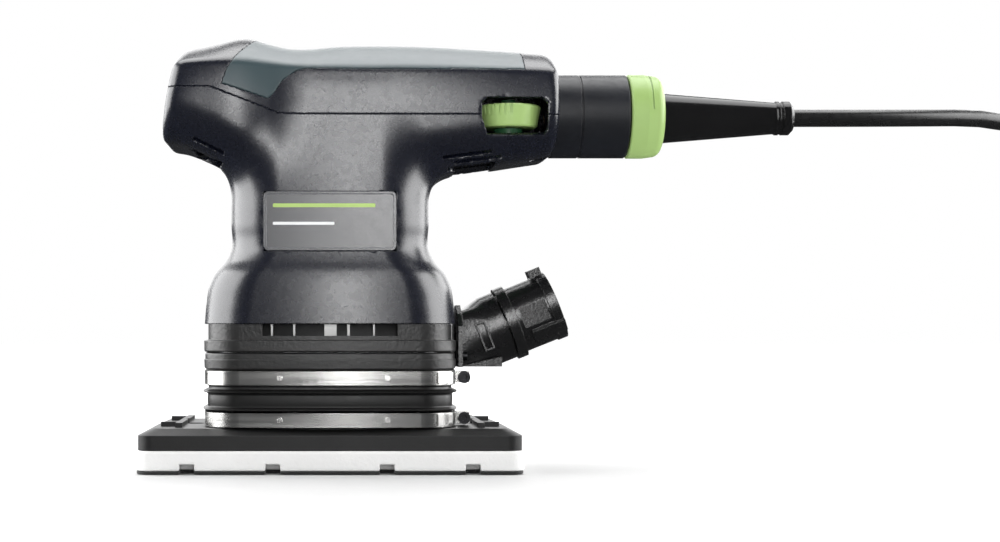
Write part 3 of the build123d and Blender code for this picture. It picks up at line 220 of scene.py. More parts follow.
def body_field(p):
    """Distance-like field of the housing's outside: negative within it."""
    x, y, z = p[..., 0], np.abs(p[..., 1]), p[..., 2]
    low, top, crown, z_crown, wide, z_wide = (smooth_curve(HANDLE, c, x) for c in range(1, 7))
    roof = z - (top - (top - z_crown) * (y / crown) ** 2)
    lean = np.clip((z - z_wide) / (z_crown - z_wide), 0, 2)
    belly = BELLY_FALL * np.clip(z_wide - z, 0, 40) ** 1.5
    side = y - (wide - (wide - crown) * lean ** SIDE_POWER - belly)
    handle = soft_max(side * 0.97, roof * 0.93, CREST_ROUND)
    handle = soft_max(handle, low - z, BELLY_ROUND)
    nose_lean = np.degrees(np.arctan2(NOSE_TOP[0] - NOSE_FOOT[0], NOSE_TOP[1] - NOSE_FOOT[1]))
    handle = soft_max(handle, -lean_plane(x, z, NOSE_FOOT, -nose_lean), NOSE_ROUND)
    for angle in REAR_LEANS:
        handle = soft_max(handle, lean_plane(x, z, REAR_MID, angle), REAR_ROUND)
    half_x, half_y, corner, bulge = (smooth_curve(NECK, c, z) for c in range(1, 5))
    end_r = ((half_y - bulge) ** 2 + bulge**2) / (2 * bulge)
    side_r = ((half_x - bulge) ** 2 + bulge**2) / (2 * bulge)
    qx = np.hypot(np.abs(x) - half_x + end_r, y) - end_r + corner
    qy = np.hypot(x, y - half_y + side_r) - side_r + corner
    neck = np.hypot(np.maximum(qx, 0), np.maximum(qy, 0)) + np.minimum(np.maximum(qx, qy), 0) - corner
    neck = soft_max(neck, z - NECK_TOP, NECK_TOP_ROUND)
    return soft_min(handle, neck, NECK_BLEND)


def surface_net(field, low, high, step):
    """Vertices and quads of the field's zero surface on a regular grid."""
    axes = [np.arange(a, b + step, step) for a, b in zip(low, high)]
    value = field(np.stack(np.meshgrid(*axes, indexing="ij"), axis=-1))
    inside = value < 0
    nx, ny, nz = value.shape
    corners = [(i, j, k) for i in (0, 1) for j in (0, 1) for k in (0, 1)]
    count = sum(inside[i:nx - 1 + i, j:ny - 1 + j, k:nz - 1 + k].astype(np.int8) for i, j, k in corners)
    active = (count > 0) & (count < 8)
    index = -np.ones(active.shape, dtype=np.int64)
    index[active] = np.arange(active.sum())
    cells = np.argwhere(active)
    total, hits = np.zeros((len(cells), 3)), np.zeros(len(cells))
    for near in corners:
        for axis in range(3):
            if near[axis]:
                continue
            far = list(near)
            far[axis] = 1
            a, b = value[tuple((cells + near).T)], value[tuple((cells + far).T)]
            crosses = (a < 0) != (b < 0)
            t = np.where(crosses, a / np.where(a == b, 1, a - b), 0)
            total += (np.array(near, float) + t[:, None] * (np.array(far, float) - near)) * crosses[:, None]
            hits += crosses
    points = (cells + total / hits[:, None]) * step + np.array([a[0] for a in axes])
    quads = []
    for axis in range(3):
        u, v = (axis + 1) % 3, (axis + 2) % 3
        here = [slice(1, n - 1) for n in value.shape]
        here[axis] = slice(0, value.shape[axis] - 1)
        ahead = list(here)
        ahead[axis] = slice(1, value.shape[axis])
        first, second = inside[tuple(here)], inside[tuple(ahead)]
        for outward, mask in ((True, first & ~second), (False, ~first & second)):
            at = np.argwhere(mask) + [s.start for s in here]
            ring = []
            for du, dv in ((-1, -1), (0, -1), (0, 0), (-1, 0)):
                cell = at.copy()
                cell[:, u] += du
                cell[:, v] += dv
                ring.append(index[tuple(cell.T)])
            ring = np.stack(ring, axis=1)
            quads.append(ring if outward else ring[:, ::-1])
    return points, np.concatenate(quads)


def gradient(field, points, eps=0.02):
    return np.stack(
        [(field(points + eps * e) - field(points - eps * e)) / (2 * eps) for e in np.eye(3)], axis=-1
    )


def snap(field, points, rounds=4):
    """Moves points along the gradient onto the zero surface."""
    for _ in range(rounds):
        slope = gradient(field, points)
        size = np.maximum((slope ** 2).sum(-1), 1e-6)
        points = points - (field(points) / size)[:, None] * slope
    return points


def inside_outline(outline, u, v):
    """Whether points (u, v) are inside a closed polygon."""
    hit = np.zeros(len(u), dtype=bool)
    for (u0, v0), (u1, v1) in zip(outline, outline[1:] + outline[:1]):
        spans = (v0 > v) != (v1 > v)
        cross = u0 + (v - v0) / (v1 - v0 if v1 != v0 else 1) * (u1 - u0)
        hit ^= spans & (u < cross)
    return hit


def scored(bm, outline, origin, u_axis, v_axis, keep, offsets=(0.0,)):
    """Cuts a mesh's faces along a polygon's edges, seen square to its plane, where keep(centre)."""
    origin, u_axis, v_axis = Vector(origin), Vector(u_axis), Vector(v_axis)
    reach = 1.6 * GRID
    for offset in offsets:
        for a, b in zip(outline, outline[1:] + outline[:1]):
            start, end = origin + u_axis * a[0] + v_axis * a[1], origin + u_axis * b[0] + v_axis * b[1]
            run = end - start
            across = run.cross(u_axis.cross(v_axis)).normalized()
            low_u, high_u = min(a[0], b[0]) - reach, max(a[0], b[0]) + reach
            low_v, high_v = min(a[1], b[1]) - reach, max(a[1], b[1]) + reach
            faces = []
            for face in bm.faces:
                centre = face.calc_center_median()
                local = centre - origin
                u, v = local.dot(u_axis), local.dot(v_axis)
                if not (low_u < u < high_u and low_v < v < high_v and keep(centre)):
                    continue
                if abs((centre - start).dot(across) - offset) < reach:
                    faces.append(face)
            edges, verts = {e for f in faces for e in f.edges}, {v for f in faces for v in f.verts}
            geometry = faces + list(edges) + list(verts)
            bmesh.ops.bisect_plane(
                bm, geom=geometry, dist=1e-5, plane_co=start + across * offset, plane_no=across
            )


def tilted_slot(centre, length, width, tilt):
    """Corners of a narrow slot in the XZ plane, tilted by some degrees downwards to +X."""
    c, s = cos(radians(tilt)), sin(radians(tilt))
    corners = ((-length, -width), (length, -width), (length, width), (-length, width))
    return [(centre[0] + (u * c + v * s) / 2, centre[1] + (-u * s + v * c) / 2) for u, v in corners]


def everywhere(centre):
    return True


def at_front(centre):
    return centre.y < -15


XZ = ((0, 0, 0), (1, 0, 0), (0, 0, 1))
XY = ((0, 0, 0), (1, 0, 0), (0, 1, 0))
NOSE_RUN = Vector((NOSE_TOP[0] - NOSE_FOOT[0], 0, NOSE_TOP[1] - NOSE_FOOT[1])).normalized()
NOSE_BASIS = ((NOSE_FOOT[0], 0, NOSE_FOOT[1]), (0, 1, 0), tuple(NOSE_RUN))
REAR_BASIS = ((0, 0, INLET_Z), (0, 1, 0), (0, 0, 1))


def rectangle(half_u, half_v, centre_v=0.0):
    return [(-half_u, centre_v - half_v), (half_u, centre_v - half_v), (half_u, centre_v + half_v),
            (-half_u, centre_v + half_v)]


def round_outline(radius, sides, u=0.0, v=0.0):
    turns = [2 * pi * k / sides for k in range(sides)]
    return [(u + radius * cos(turn), v + radius * sin(turn)) for turn in turns]


# openings in the skin: outline, the plane it is drawn in, and which faces it may cut
HOLES = [(tilted_slot(at, 11.5, SLOT_W, 26), XZ, everywhere) for at in NOSE_SLOTS]
HOLES += [(tilted_slot(at, 17.0, SLOT_W, -7.5), XZ, everywhere) for at in REAR_SLOTS]
HOLES += [
    (list(WHEEL_WINDOW), XZ, at_front),
    (rectangle(LABEL_HALF, (LABEL_Z[1] - LABEL_Z[0]) / 2, (LABEL_Z[0] + LABEL_Z[1]) / 2), XZ, at_front),
    (rectangle(ROCKER_HOLE[0] / 2, ROCKER_HOLE[1] / 2, ROCKER_RISE), NOSE_BASIS, lambda c: c.x < -45),
    (round_outline(INLET_HOLE_R, 24), REAR_BASIS, lambda c: c.x > 74),
]
HOLES += [
    (round_outline(SCREW_HOLE_R, 16, x, y), XY, lambda c: 95 < c.z < 115) for x, y in HOUSING_SCREWS
]


def local_uv(points, basis):
    shifted = points - np.array(basis[0], float)
    return shifted @ np.array(basis[1], float), shifted @ np.array(basis[2], float)


def face_centres(bm):
    return np.array([face.calc_center_median() for face in bm.faces])


def housing_patches():
    """The housing's outside, cut along its seams: patch name to (points, faces)."""
    points, quads = surface_net(body_field, (-64, -40, 47), (86, 40, 156), GRID)
    points = snap(body_field, points)
    bm = bmesh.new()
    verts = [bm.verts.new(p) for p in points]
    for quad in quads:
        bm.faces.new([verts[i] for i in quad])
    bmesh.ops.bisect_plane(
        bm, geom=bm.verts[:] + bm.edges[:] + bm.faces[:], plane_co=(0, 0, SKIRT_Z),
        plane_no=(0, 0, -1), clear_outer=True,
    )
    for outline in (PARTING, INSERT):
        scored(bm, list(outline), *XZ, everywhere, offsets=(-SEAM_HALF, 0.0, SEAM_HALF))
    for outline, basis, keep in HOLES:
        scored(bm, outline, *basis, keep)
    centres = face_centres(bm)
    gone = np.zeros(len(centres), dtype=bool)
    for outline, basis, keep in HOLES:
        kept = np.array([keep(Vector(c)) for c in centres])
        gone |= inside_outline(outline, *local_uv(centres, basis)) & kept
    faces = list(bm.faces)
    bmesh.ops.delete(bm, geom=[face for face, out in zip(faces, gone) if out], context="FACES")
    centres = face_centres(bm)
    u, v = local_uv(centres, XZ)
    insert = inside_outline(list(INSERT), u, v)
    upper = inside_outline(list(PARTING), u, v) & ~insert
    faces = list(bm.faces)
    patches = {}
    for name, mask in (("grip_insert", insert), ("top_shell", upper), ("lower_housing", ~insert & ~upper)):
        chosen = [face for face, take in zip(faces, mask) if take]
        number, coords = {}, []
        polygons = []
        for face in chosen:
            ring = []
            for vert in face.verts:
                if vert not in number:
                    number[vert] = len(coords)
                    coords.append(vert.co[:])
                ring.append(number[vert])
            polygons.append(ring)
        patches[name] = (np.array(coords), polygons)
    bm.free()
    return patches


SEAM_HALF, SEAM_DEPTH = 0.35, 0.32


def solid_patch(name, points, polygons, thickness):
    """A closed shell from one patch: its rim is pressed in, which draws the seams."""
    count = len(points)
    use = {}
    for ring in polygons:
        for a, b in zip(ring, ring[1:] + ring[:1]):
            use[(a, b)] = use.get((a, b), 0) + 1
    rim = [(a, b) for a, b in use if (b, a) not in use]
    on_rim = np.zeros(count, dtype=bool)
    on_rim[[i for edge in rim for i in edge]] = True
    slope = gradient(body_field, points)
    normal = slope / np.linalg.norm(slope, axis=1)[:, None]
    outer = points - normal * (SEAM_DEPTH * (on_rim & (points[:, 2] > SKIRT_Z + 0.1)))[:, None]
    inner = points - normal * thickness
    inner[:, 2] = np.where(points[:, 2] < SKIRT_Z + 0.1, points[:, 2], inner[:, 2])
    faces = [list(ring) for ring in polygons]
    faces += [[i + count for i in reversed(ring)] for ring in polygons]
    faces += [[b, a, a + count, b + count] for a, b in rim]
    mesh = bpy.data.meshes.new(name)
    mesh.from_pydata((np.concatenate((outer, inner)) * MM).tolist(), [], faces)
    mesh.update()
    mesh.polygons.foreach_set("use_smooth", [True] * len(mesh.polygons))
    mesh.set_sharp_from_angle(angle=radians(38))
    return link(bpy.data.objects.new(name, mesh))


def make_housing():
    pieces = {}
    for name, (points, polygons) in housing_patches().items():
        piece = solid_patch(f"{name}_skin", points, polygons, SKIN_T if name == "grip_insert" else WALL_T)
        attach(piece, "housing")
        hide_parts(name)
        pieces[name] = piece
    return pieces


housing = make_housing()


# ------------------------------------------------------------------ pad and bellows
PAD_HALF, PAD_CORNER = (66.0, 40.0), 5.0
FOAM_Z, HOOK_Z = (1.1, 7.9), (0.0, 1.1)
NOTCH_X, NOTCH_HALF, NOTCH_TOP, NOTCH_DEPTH = (19.3, 48.3), 2.5, 3.4, 7.0
DUST_HOLES = ((-48.3, 0), (48.3, 0), (-19.3, 20), (19.3, 20), (-19.3, -20), (19.3, -20))
SCREW_HOLES = ((-33, 0), (33, 0), (0, 29), (0, -29))
DUST_R, SCREW_R = 3.5, 4.4


def pad_field(z_low, z_high, margin, edge):
    """Distance-like field of one layer of the pad, its edges rounded over edge."""
    def field(p):
        x, y, z = p[..., 0], p[..., 1], p[..., 2]
        corner = PAD_CORNER - margin
        qx = np.abs(x) - PAD_HALF[0] + margin + corner
        qy = np.abs(y) - PAD_HALF[1] + margin + corner
        outline = np.hypot(np.maximum(qx, 0), np.maximum(qy, 0))
        outline = outline + np.minimum(np.maximum(qx, qy), 0) - corner
        faces = np.maximum(z - z_high, z_low - z)
        layer = soft_max(outline, faces, edge)
        for centre in NOTCH_X:
            notch = np.maximum(np.abs(np.abs(x) - centre) - NOTCH_HALF, z - NOTCH_TOP)
            notch = np.maximum(notch, PAD_HALF[1] - NOTCH_DEPTH - np.abs(y))
            layer = soft_max(layer, -notch, edge * 0.6)
        for spots, radius in ((DUST_HOLES, DUST_R), (SCREW_HOLES, SCREW_R)):
            for spot in spots:
                layer = soft_max(layer, radius - np.hypot(x - spot[0], y - spot[1]), edge * 0.6)
        return layer
    return field


def mesh_piece(name, points, faces, smooth_angle=38):
    """An object from points in millimetres, smooth but for sharp edges."""
    mesh = bpy.data.meshes.new(name)
    mesh.from_pydata((np.asarray(points, float) * MM).tolist(), [], [list(map(int, f)) for f in faces])
    mesh.update()
    mesh.polygons.foreach_set("use_smooth", [True] * len(mesh.polygons))
    mesh.set_sharp_from_angle(angle=radians(smooth_angle))
    return link(bpy.data.objects.new(name, mesh))


def make_pad_layer(name, node, span, margin, edge, step):
    field = pad_field(*span, margin, edge)
    low = (-PAD_HALF[0] - 1, -PAD_HALF[1] - 1, span[0] - 0.75)
    high = (PAD_HALF[0] + 1, PAD_HALF[1] + 1, span[1] + 0.75)
    points, quads = surface_net(field, low, high, step)
    points = snap(field, points, 3)
    points[:, 2] = np.clip(points[:, 2], *span)
    piece = mesh_piece(name, points, quads, 60)
    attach(piece, "pad")
    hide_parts(node)
    return piece


foam = make_pad_layer("foam_layer", "foam_pad", FOAM_Z, 0.0, 1.0, 0.55)
hook_face = make_pad_layer("hook_face", "hook_layer", HOOK_Z, 0.4, 0.3, 0.5)

RING_HALF, RING_CORNER, RING_BULGE = (44.7, 38.0), 14.0, 3.0
BELLOWS_Z = (20.95, 34.6)
RIDGES, RIDGE_SHARPNESS, RIDGE_RISE = (21.5, 27.5), 0.5, 1.75
CUFF_Z, CUFF_INSET, BELLOWS_INNER = (15.4, 20.55), 1.0, 2.88


def ring_points(inset, corner_steps=14, side_steps=20):
    """Outline of the ring stack, moved inwards by an inset: four flat arcs with rounded corners."""
    half_x, half_y, corner = RING_HALF[0] - inset, RING_HALF[1] - inset, RING_CORNER - inset
    end_r = ((half_y - RING_BULGE) ** 2 + RING_BULGE**2) / (2 * RING_BULGE)
    side_r = ((half_x - RING_BULGE) ** 2 + RING_BULGE**2) / (2 * RING_BULGE)
    end_centre, side_centre = half_x - end_r, half_y - side_r
    # centre of the corner arc, which touches both of its sides from within
    apart = hypot(end_centre, side_centre)
    reach_end, reach_side = end_r - corner, side_r - corner
    along = (apart**2 + reach_end**2 - reach_side**2) / (2 * apart)
    across = sqrt(reach_end**2 - along**2)
    ux, uy = -end_centre / apart, side_centre / apart
    corner_x, corner_y = end_centre + ux * along - uy * across, uy * along + ux * across
    first = atan2(corner_y, corner_x - end_centre)
    last = atan2(corner_y - side_centre, corner_x)
    quarter = [(end_centre + end_r * cos(first * k / side_steps), end_r * sin(first * k / side_steps))
               for k in range(side_steps)]
    for k in range(corner_steps):
        angle = first + (last - first) * k / corner_steps
        quarter.append((corner_x + corner * cos(angle), corner_y + corner * sin(angle)))
    for k in range(side_steps):
        angle = last + (pi / 2 - last) * k / side_steps
        quarter.append((side_r * cos(angle), side_centre + side_r * sin(angle)))
    back = [(-x, y) for x, y in reversed(quarter[1:])]
    half_turn = quarter + [(0.0, half_y)] + back
    return half_turn + [(-x, -y) for x, y in half_turn]


def ring_piece(name, profile, smooth_angle=50):
    """A closed ring swept from a profile of (z, inset) points."""
    rows = [[(x, y, z) for x, y in ring_points(inset)] for z, inset in profile]
    around, count = len(rows[0]), len(profile)
    faces = []
    for row in range(count):
        ahead = (row + 1) % count
        for k in range(around):
            beside = (k + 1) % around
            faces.append((row * around + k, row * around + beside,
                          ahead * around + beside, ahead * around + k))
    return mesh_piece(name, [point for row in rows for point in row], faces, smooth_angle)


def make_bellows():
    """Rubber sleeve with two thin outward lips and a soft belly between them."""
    profile = []
    for step in range(61):
        z = BELLOWS_Z[0] + (29.2 - BELLOWS_Z[0]) * step / 60
        lips = sum(np.exp(-((z - ridge) / RIDGE_SHARPNESS) ** 2) for ridge in RIDGES)
        belly = 0.25 * sin(pi * (z - RIDGES[0]) / (RIDGES[1] - RIDGES[0]))
        profile.append((z, 1.35 - belly - RIDGE_RISE * lips))
    profile += [(29.6, CUFF_INSET), (BELLOWS_Z[1] - 0.3, CUFF_INSET), (BELLOWS_Z[1], CUFF_INSET + 0.3),
                (BELLOWS_Z[1], BELLOWS_INNER), (BELLOWS_Z[0], BELLOWS_INNER)]
    sleeve = ring_piece("bellows_sleeve", profile)
    cuff = ring_piece("bellows_foot", [
        (CUFF_Z[0], CUFF_INSET + 0.2), (CUFF_Z[0] + 0.2, CUFF_INSET), (CUFF_Z[1] - 0.2, CUFF_INSET),
        (CUFF_Z[1], CUFF_INSET + 0.2), (CUFF_Z[1], BELLOWS_INNER), (CUFF_Z[0], BELLOWS_INNER),
    ])
    for piece, node in ((sleeve, "bellows"), (cuff, "bellows_cuff")):
        bodies = frame["record"]["behaviour"]["bodies"]
        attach(piece, next(body for body, nodes in bodies.items() if node in nodes))
        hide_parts(node)
    return sleeve, cuff


bellows_parts = make_bellows()


# ------------------------------------------------------------------ rating plate
PLATE_HALF, PLATE_Z, PLATE_Y, PLATE_T = 22.6, (75.8, 96.0), -32.05, 1.3


def rounded_outline(half_u, low_v, high_v, radius, steps=6):
    points = []
    for quarter, (su, v) in enumerate(((1, high_v - radius), (-1, high_v - radius), (-1, low_v + radius),
                                       (1, low_v + radius))):
        for step in range(steps + 1):
            angle = radians(90 * quarter + 90 * step / steps)
            points.append((su * (half_u - radius) + radius * cos(angle), v + radius * sin(angle)))
    return points


def plate_piece(name, levels):
    """A plate facing -Y from outlines given as (y, inset, corner radius)."""
    rows = []
    for y, inset, radius in levels:
        outline = rounded_outline(PLATE_HALF - inset, PLATE_Z[0] + inset, PLATE_Z[1] - inset, radius)
        rows.append([(u, y, v) for u, v in outline])
    around = len(rows[0])
    faces = []
    for row in range(len(rows) - 1):
        for k in range(around):
            beside = (k + 1) % around
            faces.append((row * around + k, (row + 1) * around + k, (row + 1) * around + beside,
                          row * around + beside))
    faces.append(tuple(range(around)))
    faces.append(tuple(reversed(range((len(rows) - 1) * around, len(rows) * around))))
    return mesh_piece(name, [point for row in rows for point in row], faces, 25)


def bar_piece(name, x_low, x_high, z_low, z_high, y_face, rise):
    """A thin printed bar with rounded ends, standing a hair above a face at y_face."""
    radius = (z_high - z_low) / 2 * 0.6
    centre, half = (x_low + x_high) / 2, (x_high - x_low) / 2
    outline = [(centre + u, v) for u, v in rounded_outline(half, z_low, z_high, radius)]
    around = len(outline)
    rows = [[(u, y, v) for u, v in outline] for y in (y_face + 0.2, y_face - rise)]
    faces = [(k, around + k, around + (k + 1) % around, (k + 1) % around) for k in range(around)]
    faces += [tuple(range(around)), tuple(reversed(range(around, 2 * around)))]
    return mesh_piece(name, rows[0] + rows[1], faces, 25)


def make_rating_plate():
    """Plate with a raised frame, and plain bars in place of any print."""
    back, face = PLATE_Y + PLATE_T, PLATE_Y
    plate = plate_piece("rating_plate", (
        (back, 0, 1.6), (face + 0.15, 0, 1.6), (face, 0.15, 1.5), (face, 0.75, 1.1),
        (face + 0.22, 0.95, 1.0),
    ))
    bars = [
        bar_piece("plate_bar_wide", -19.5, 15.5, 90.6, 91.9, face + 0.22, 0.04),
        bar_piece("plate_bar_narrow", -19.5, 1.5, 84.6, 85.6, face + 0.22, 0.04),
    ]
    for piece in (plate, *bars):
        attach(piece, "housing")
    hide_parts("label_plate")
    return plate, bars


rating_plate, plate_bars = make_rating_plate()


# ------------------------------------------------------------------ materials
def tidy_nodes(material):
    material.use_nodes = True
    tree = material.node_tree
    shader = tree.nodes["Principled BSDF"]
    return tree, shader


def noise(tree, vector, scale, detail=3.0, rough=0.5):
    node = tree.nodes.new("ShaderNodeTexNoise")
    node.inputs["Scale"].default_value = scale
    node.inputs["Detail"].default_value = detail
    node.inputs["Roughness"].default_value = rough
    tree.links.new(vector, node.inputs["Vector"])
    return node.outputs["Fac"]


def remap(tree, value, low, high, from_low=0.3, from_high=0.7):
    node = tree.nodes.new("ShaderNodeMapRange")
    node.inputs["From Min"].default_value, node.inputs["From Max"].default_value = from_low, from_high
    node.inputs["To Min"].default_value, node.inputs["To Max"].default_value = low, high
    tree.links.new(value, node.inputs["Value"])
    return node.outputs["Result"]


def mix_colour(tree, factor, a, b):
    node = tree.nodes.new("ShaderNodeMix")
    node.data_type = "RGBA"
    tree.links.new(factor, node.inputs["Factor"])
    for socket, value in ((node.inputs["A"], a), (node.inputs["B"], b)):
        if isinstance(value, tuple):
            socket.default_value = (*value, 1)
        else:
            tree.links.new(value, socket)
    return node.outputs["Result"]


def bump(tree, height, distance, normal=None, strength=1.0):
    node = tree.nodes.new("ShaderNodeBump")
    node.inputs["Strength"].default_value = strength
    node.inputs["Distance"].default_value = distance
    tree.links.new(height, node.inputs["Height"])
    if normal is not None:
        tree.links.new(normal, node.inputs["Normal"])
    return node.outputs["Normal"]


def rounded_edges(tree, radius):
    node = tree.nodes.new("ShaderNodeBevel")
    node.samples = 4
    node.inputs["Radius"].default_value = radius
    return node.outputs["Normal"]


def edge_highlight_mask(tree, rounded):
    """Where the rounded normal leaves the true one: 0 on faces, towards 1 on edges; it masks the painted
    edge highlight.
    """
    geometry = tree.nodes.new("ShaderNodeNewGeometry")
    dot = tree.nodes.new("ShaderNodeVectorMath")
    dot.operation = "DOT_PRODUCT"
    tree.links.new(rounded, dot.inputs[0])
    tree.links.new(geometry.outputs["Normal"], dot.inputs[1])
    return remap(tree, dot.outputs["Value"], 1.0, 0.0, 0.80, 0.99)


def surface(name, colour, roughness, grain=None, grain_depth=0.0, metallic=0.0, specular=0.5, edge=0.0,
            edge_highlight=None, spread=0.12, rough_spread=0.06, coat=0.0, coat_roughness=0.1, sheen=0.0,
            stretch=(1, 1, 1), anisotropic=0.0, stain_scale=70.0):
    """A material with fine grain, slow changes of tone and gloss, and a painted highlight that colours its
    edges lighter.
    """
    material = bpy.data.materials.new(name)
    tree, shader = tidy_nodes(material)
    place = tree.nodes.new("ShaderNodeTexCoord").outputs["Object"]
    stretched = place
    if stretch != (1, 1, 1):
        mapping = tree.nodes.new("ShaderNodeMapping")
        mapping.inputs["Scale"].default_value = stretch
        tree.links.new(place, mapping.inputs["Vector"])
        stretched = mapping.outputs["Vector"]
    slow = noise(tree, place, stain_scale, 4.0)
    shade = mix_colour(
        tree, remap(tree, slow, 0.0, 1.0), tuple(c * (1 - spread) for c in colour),
        tuple(min(c * (1 + spread), 1) for c in colour),
    )
    normal = None
    if edge:
        normal = rounded_edges(tree, edge)
        # painted highlight: edges get a lighter colour wherever the rounded normal bends
        if edge_highlight:
            shade = mix_colour(tree, edge_highlight_mask(tree, normal), shade, edge_highlight)
    fine = noise(tree, stretched, 1.0 / grain, 2.0, 0.6) if grain else None
    if grain:
        normal = bump(tree, fine, grain_depth, normal)
    tree.links.new(shade, shader.inputs["Base Color"])
    gloss = noise(tree, stretched, stain_scale * 6, 3.0)
    tree.links.new(
        remap(tree, gloss, roughness - rough_spread, roughness + rough_spread), shader.inputs["Roughness"]
    )
    if normal is not None:
        tree.links.new(normal, shader.inputs["Normal"])
    for socket, value in (
        ("Metallic", metallic), ("Specular IOR Level", specular), ("Coat Weight", coat),
        ("Coat Roughness", coat_roughness), ("Sheen Weight", sheen), ("Anisotropic", anisotropic),
    ):
        shader.inputs[socket].default_value = value
    return material


EDGE = 0.0003  # radius of the rounding that the shading gives to plastic edges
MATERIALS = {
    "housing": surface("housing", (0.0050, 0.0062, 0.0130), 0.27, 0.00045, 0.00002, specular=1.0,
                       edge=EDGE, edge_highlight=(0.02, 0.022, 0.03), spread=0.05, rough_spread=0.015),
    "grip": surface("grip", (0.012, 0.036, 0.044), 0.40, 0.0003, 0.00003, specular=1.0, edge=EDGE,
                    edge_highlight=(0.03, 0.05, 0.055), sheen=0.2, spread=0.05, rough_spread=0.02),
    # the plate's edges are painted pale all round, a painted highlight on its frame
    "label": surface("label", (0.009, 0.010, 0.016), 0.26, 0.0006, 0.000006, specular=1.0, edge=EDGE,
                     edge_highlight=(0.35, 0.36, 0.38), spread=0.04, rough_spread=0.01),
    "ring_plastic": surface("ring_plastic", (0.0085, 0.0085, 0.0085), 0.40, 0.0011, 0.00012, specular=1.0,
                            edge=EDGE, edge_highlight=(0.03, 0.03, 0.03), rough_spread=0.02),
    "platform_plastic": surface("platform_plastic", (0.0115, 0.0115, 0.0118), 0.45, 0.0006, 0.00004,
                                rough_spread=0.02, edge=0.0004, edge_highlight=(0.04, 0.04, 0.04)),
    "port_plastic": surface("port_plastic", (0.0075, 0.0075, 0.0080), 0.26, 0.0008, 0.00005, specular=1.0,
                            edge=0.0004, edge_highlight=(0.035, 0.035, 0.035), rough_spread=0.02),
    "collar_plastic": surface("collar_plastic", (0.0085, 0.0098, 0.0140), 0.42, 0.0004, 0.00003,
                              edge=EDGE, edge_highlight=(0.03, 0.03, 0.035)),
    "inner_plastic": surface("inner_plastic", (0.012, 0.012, 0.013), 0.45, 0.0006, 0.00003, edge=EDGE),
    "white_plastic": surface("white_plastic", (0.86, 0.86, 0.85), 0.45, 0.0006, 0.00002, spread=0.03,
                             edge=EDGE),
    "green_plastic": surface("green_plastic", (0.31, 0.46, 0.15), 0.36, 0.0005, 0.00002, spread=0.04,
                             edge=EDGE, edge_highlight=(0.38, 0.54, 0.21)),
    "rubber_black": surface("rubber_black", (0.0085, 0.0085, 0.0085), 0.40, 0.0005, 0.00003),
    "cord_rubber": surface("cord_rubber", (0.0075, 0.0075, 0.0078), 0.30, 0.0006, 0.00002, coat=0.3,
                           coat_roughness=0.25),
    "foam": surface("foam", (0.92, 0.92, 0.91), 0.85, 0.0009, 0.00016, spread=0.03, sheen=0.1,
                    specular=0.3),
    "hook": surface("hook", (0.020, 0.020, 0.020), 0.8, 0.0004, 0.0003, spread=0.3, sheen=0.3),
    "band_steel": surface("band_steel", (0.66, 0.655, 0.64), 0.24, 0.0012, 0.00001, metallic=1.0,
                          edge=0.00015, spread=0.05, stretch=(0.05, 0.05, 1.0), anisotropic=0.35),
    "bearing_steel": surface("bearing_steel", (0.55, 0.55, 0.56), 0.2, 0.0006, 0.000005, metallic=1.0),
    "steel_dark": surface("steel_dark", (0.035, 0.035, 0.037), 0.34, 0.0005, 0.00001, metallic=1.0,
                          edge=0.0002),
    "lamination": surface("lamination", (0.22, 0.22, 0.23), 0.42, 0.0005, 0.00005, metallic=1.0,
                          stretch=(0.02, 0.02, 1.0)),
    "copper": surface("copper", (0.62, 0.26, 0.11), 0.32, 0.0005, 0.0001, metallic=1.0,
                      stretch=(1.0, 1.0, 0.1)),
    "brass": surface("brass", (0.62, 0.46, 0.18), 0.28, 0.0006, 0.00001, metallic=1.0, edge=0.0002),
    "cast_alloy": surface("cast_alloy", (0.42, 0.42, 0.43), 0.42, 0.0008, 0.00006, metallic=1.0,
                          edge=0.0004),
    "carbon": surface("carbon", (0.016, 0.016, 0.016), 0.5, 0.0003, 0.00002),
    "board": surface("board", (0.02, 0.10, 0.04), 0.4, 0.001, 0.00002),
}
RELIEF = surface("relief_rubber", (0.0065, 0.0065, 0.0068), 0.16, 0.0005, 0.000006, edge=0.0005,
                 rough_spread=0.03)
PRINT_GREEN = surface("print_green", (0.38, 0.55, 0.14), 0.4, 0.0004, 0.00001, spread=0.04)
PRINT_WHITE = surface("print_white", (0.78, 0.79, 0.79), 0.4, 0.0004, 0.00001, spread=0.04)


def dress(obj, material):
    obj.data.materials.clear()
    obj.data.materials.append(material)


def dress_cad():
    """Gives every CAD node the finish of its material slot."""
    for node in frame["record"]["subparts"]:
        name, slot = node["node"], node["material_slot"]
        obj = NODES[name]
        for place in obj.material_slots:
            place.material = MATERIALS[slot]
        if name == "strain_relief":
            for place in obj.material_slots:
                place.material = RELIEF


dress_cad()
for patch, piece in housing.items():
    dress(piece, MATERIALS["grip" if patch == "grip_insert" else "housing"])
dress(foam, MATERIALS["foam"])
dress(hook_face, MATERIALS["hook"])
for piece in bellows_parts:
    dress(piece, MATERIALS["rubber_black"])
dress(rating_plate, MATERIALS["label"])
dress(plate_bars[0], PRINT_GREEN)
dress(plate_bars[1], PRINT_WHITE)
dress(mains_cord, MATERIALS["cord_rubber"])


# ------------------------------------------------------------------ floor and light
GLOW_FROM, GLOW_FULL = 0.15, 0.55  # metres from the object's middle over which the floor's glow rises


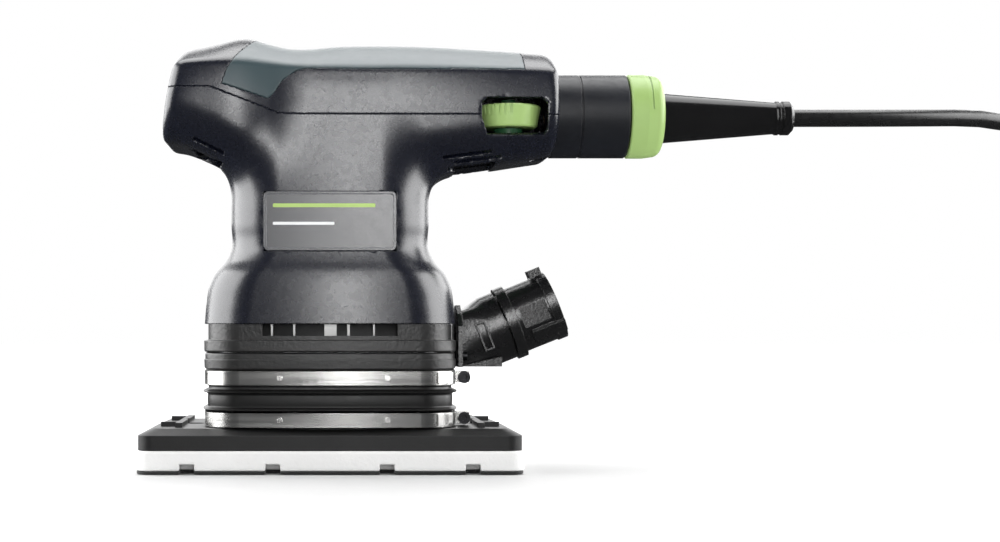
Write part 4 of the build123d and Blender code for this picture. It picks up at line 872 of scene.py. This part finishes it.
def make_floor():
    mesh = bpy.data.meshes.new("floor")
    half = 6.0
    corners = [(-half, -half, 0), (half, -half, 0), (half, half, 0), (-half, half, 0)]
    mesh.from_pydata(corners, [], [(0, 1, 2, 3)])
    floor = link(bpy.data.objects.new("floor", mesh))
    material = surface("floor_white", (0.60, 0.60, 0.60), 0.6, 0.01, 0.0, spread=0.01, specular=0.2)
    tree, shader = tidy_nodes(material)
    # far from the object, where the lamps no longer reach, the paper sweep glows by itself
    reach = tree.nodes.new("ShaderNodeVectorMath")
    reach.operation = "LENGTH"
    tree.links.new(tree.nodes.new("ShaderNodeTexCoord").outputs["Object"], reach.inputs[0])
    glow = remap(tree, reach.outputs["Value"], 0.0, 1.0, GLOW_FROM, GLOW_FULL)
    tree.links.new(glow, shader.inputs["Emission Strength"])
    shader.inputs["Emission Color"].default_value = (1, 1, 1, 1)
    dress(floor, material)
    floor.location.z = -0.0002
    floor.visible_glossy = False


def soft_light(name, centre, aim, width, height, radiance):
    """A rectangular softbox of a given brightness, not seen by the camera itself."""
    data = bpy.data.lights.new(name, "AREA")
    data.shape = "RECTANGLE"
    data.size, data.size_y = width, height
    data.energy = radiance * pi * width * height
    light = link(bpy.data.objects.new(name, data))
    light.location = centre
    light.rotation_euler = (Vector(aim) - Vector(centre)).to_track_quat("-Z", "Y").to_euler()
    light.visible_camera = False
    return light


def make_studio():
    make_floor()
    middle = (0.05, 0.0, 0.09)
    soft_light("left_panel", (-0.95, 0.20, 0.42), (0, 0.20, 0.10), 1.5, 0.9, 5.0)
    soft_light("right_panel", (1.05, 0.20, 0.42), (0, 0.20, 0.10), 1.5, 0.9, 5.0)
    soft_light("top_panel", (0.05, 0.25, 1.00), middle, 1.3, 0.9, 3.6)
    soft_light("back_panel", (0.05, 1.60, 0.62), middle, 2.6, 0.9, 2.4)
    soft_light("front_strip", (0.045, -0.78, 0.31), (0.045, 0.0, 0.20), 0.07, 0.56, 15.0)
    world = bpy.context.scene.world or bpy.data.worlds.new("world")
    bpy.context.scene.world = world
    world.use_nodes = True
    tree = world.node_tree
    tree.nodes.clear()
    output = tree.nodes.new("ShaderNodeOutputWorld")
    mix = tree.nodes.new("ShaderNodeMixShader")
    path = tree.nodes.new("ShaderNodeLightPath")
    seen, lighting = tree.nodes.new("ShaderNodeBackground"), tree.nodes.new("ShaderNodeBackground")
    seen.inputs["Color"].default_value, seen.inputs["Strength"].default_value = (1, 1, 1, 1), 1.0
    lighting.inputs["Color"].default_value = (0.95, 0.97, 1, 1)
    lighting.inputs["Strength"].default_value = 0.05
    tree.links.new(path.outputs["Is Camera Ray"], mix.inputs["Fac"])
    tree.links.new(lighting.outputs["Background"], mix.inputs[1])
    tree.links.new(seen.outputs["Background"], mix.inputs[2])
    tree.links.new(mix.outputs["Shader"], output.inputs["Surface"])
    bpy.context.scene.view_settings.view_transform = "Standard"


make_studio()

# ------------------------------------------------------------------ final update
bpy.context.view_layer.update()
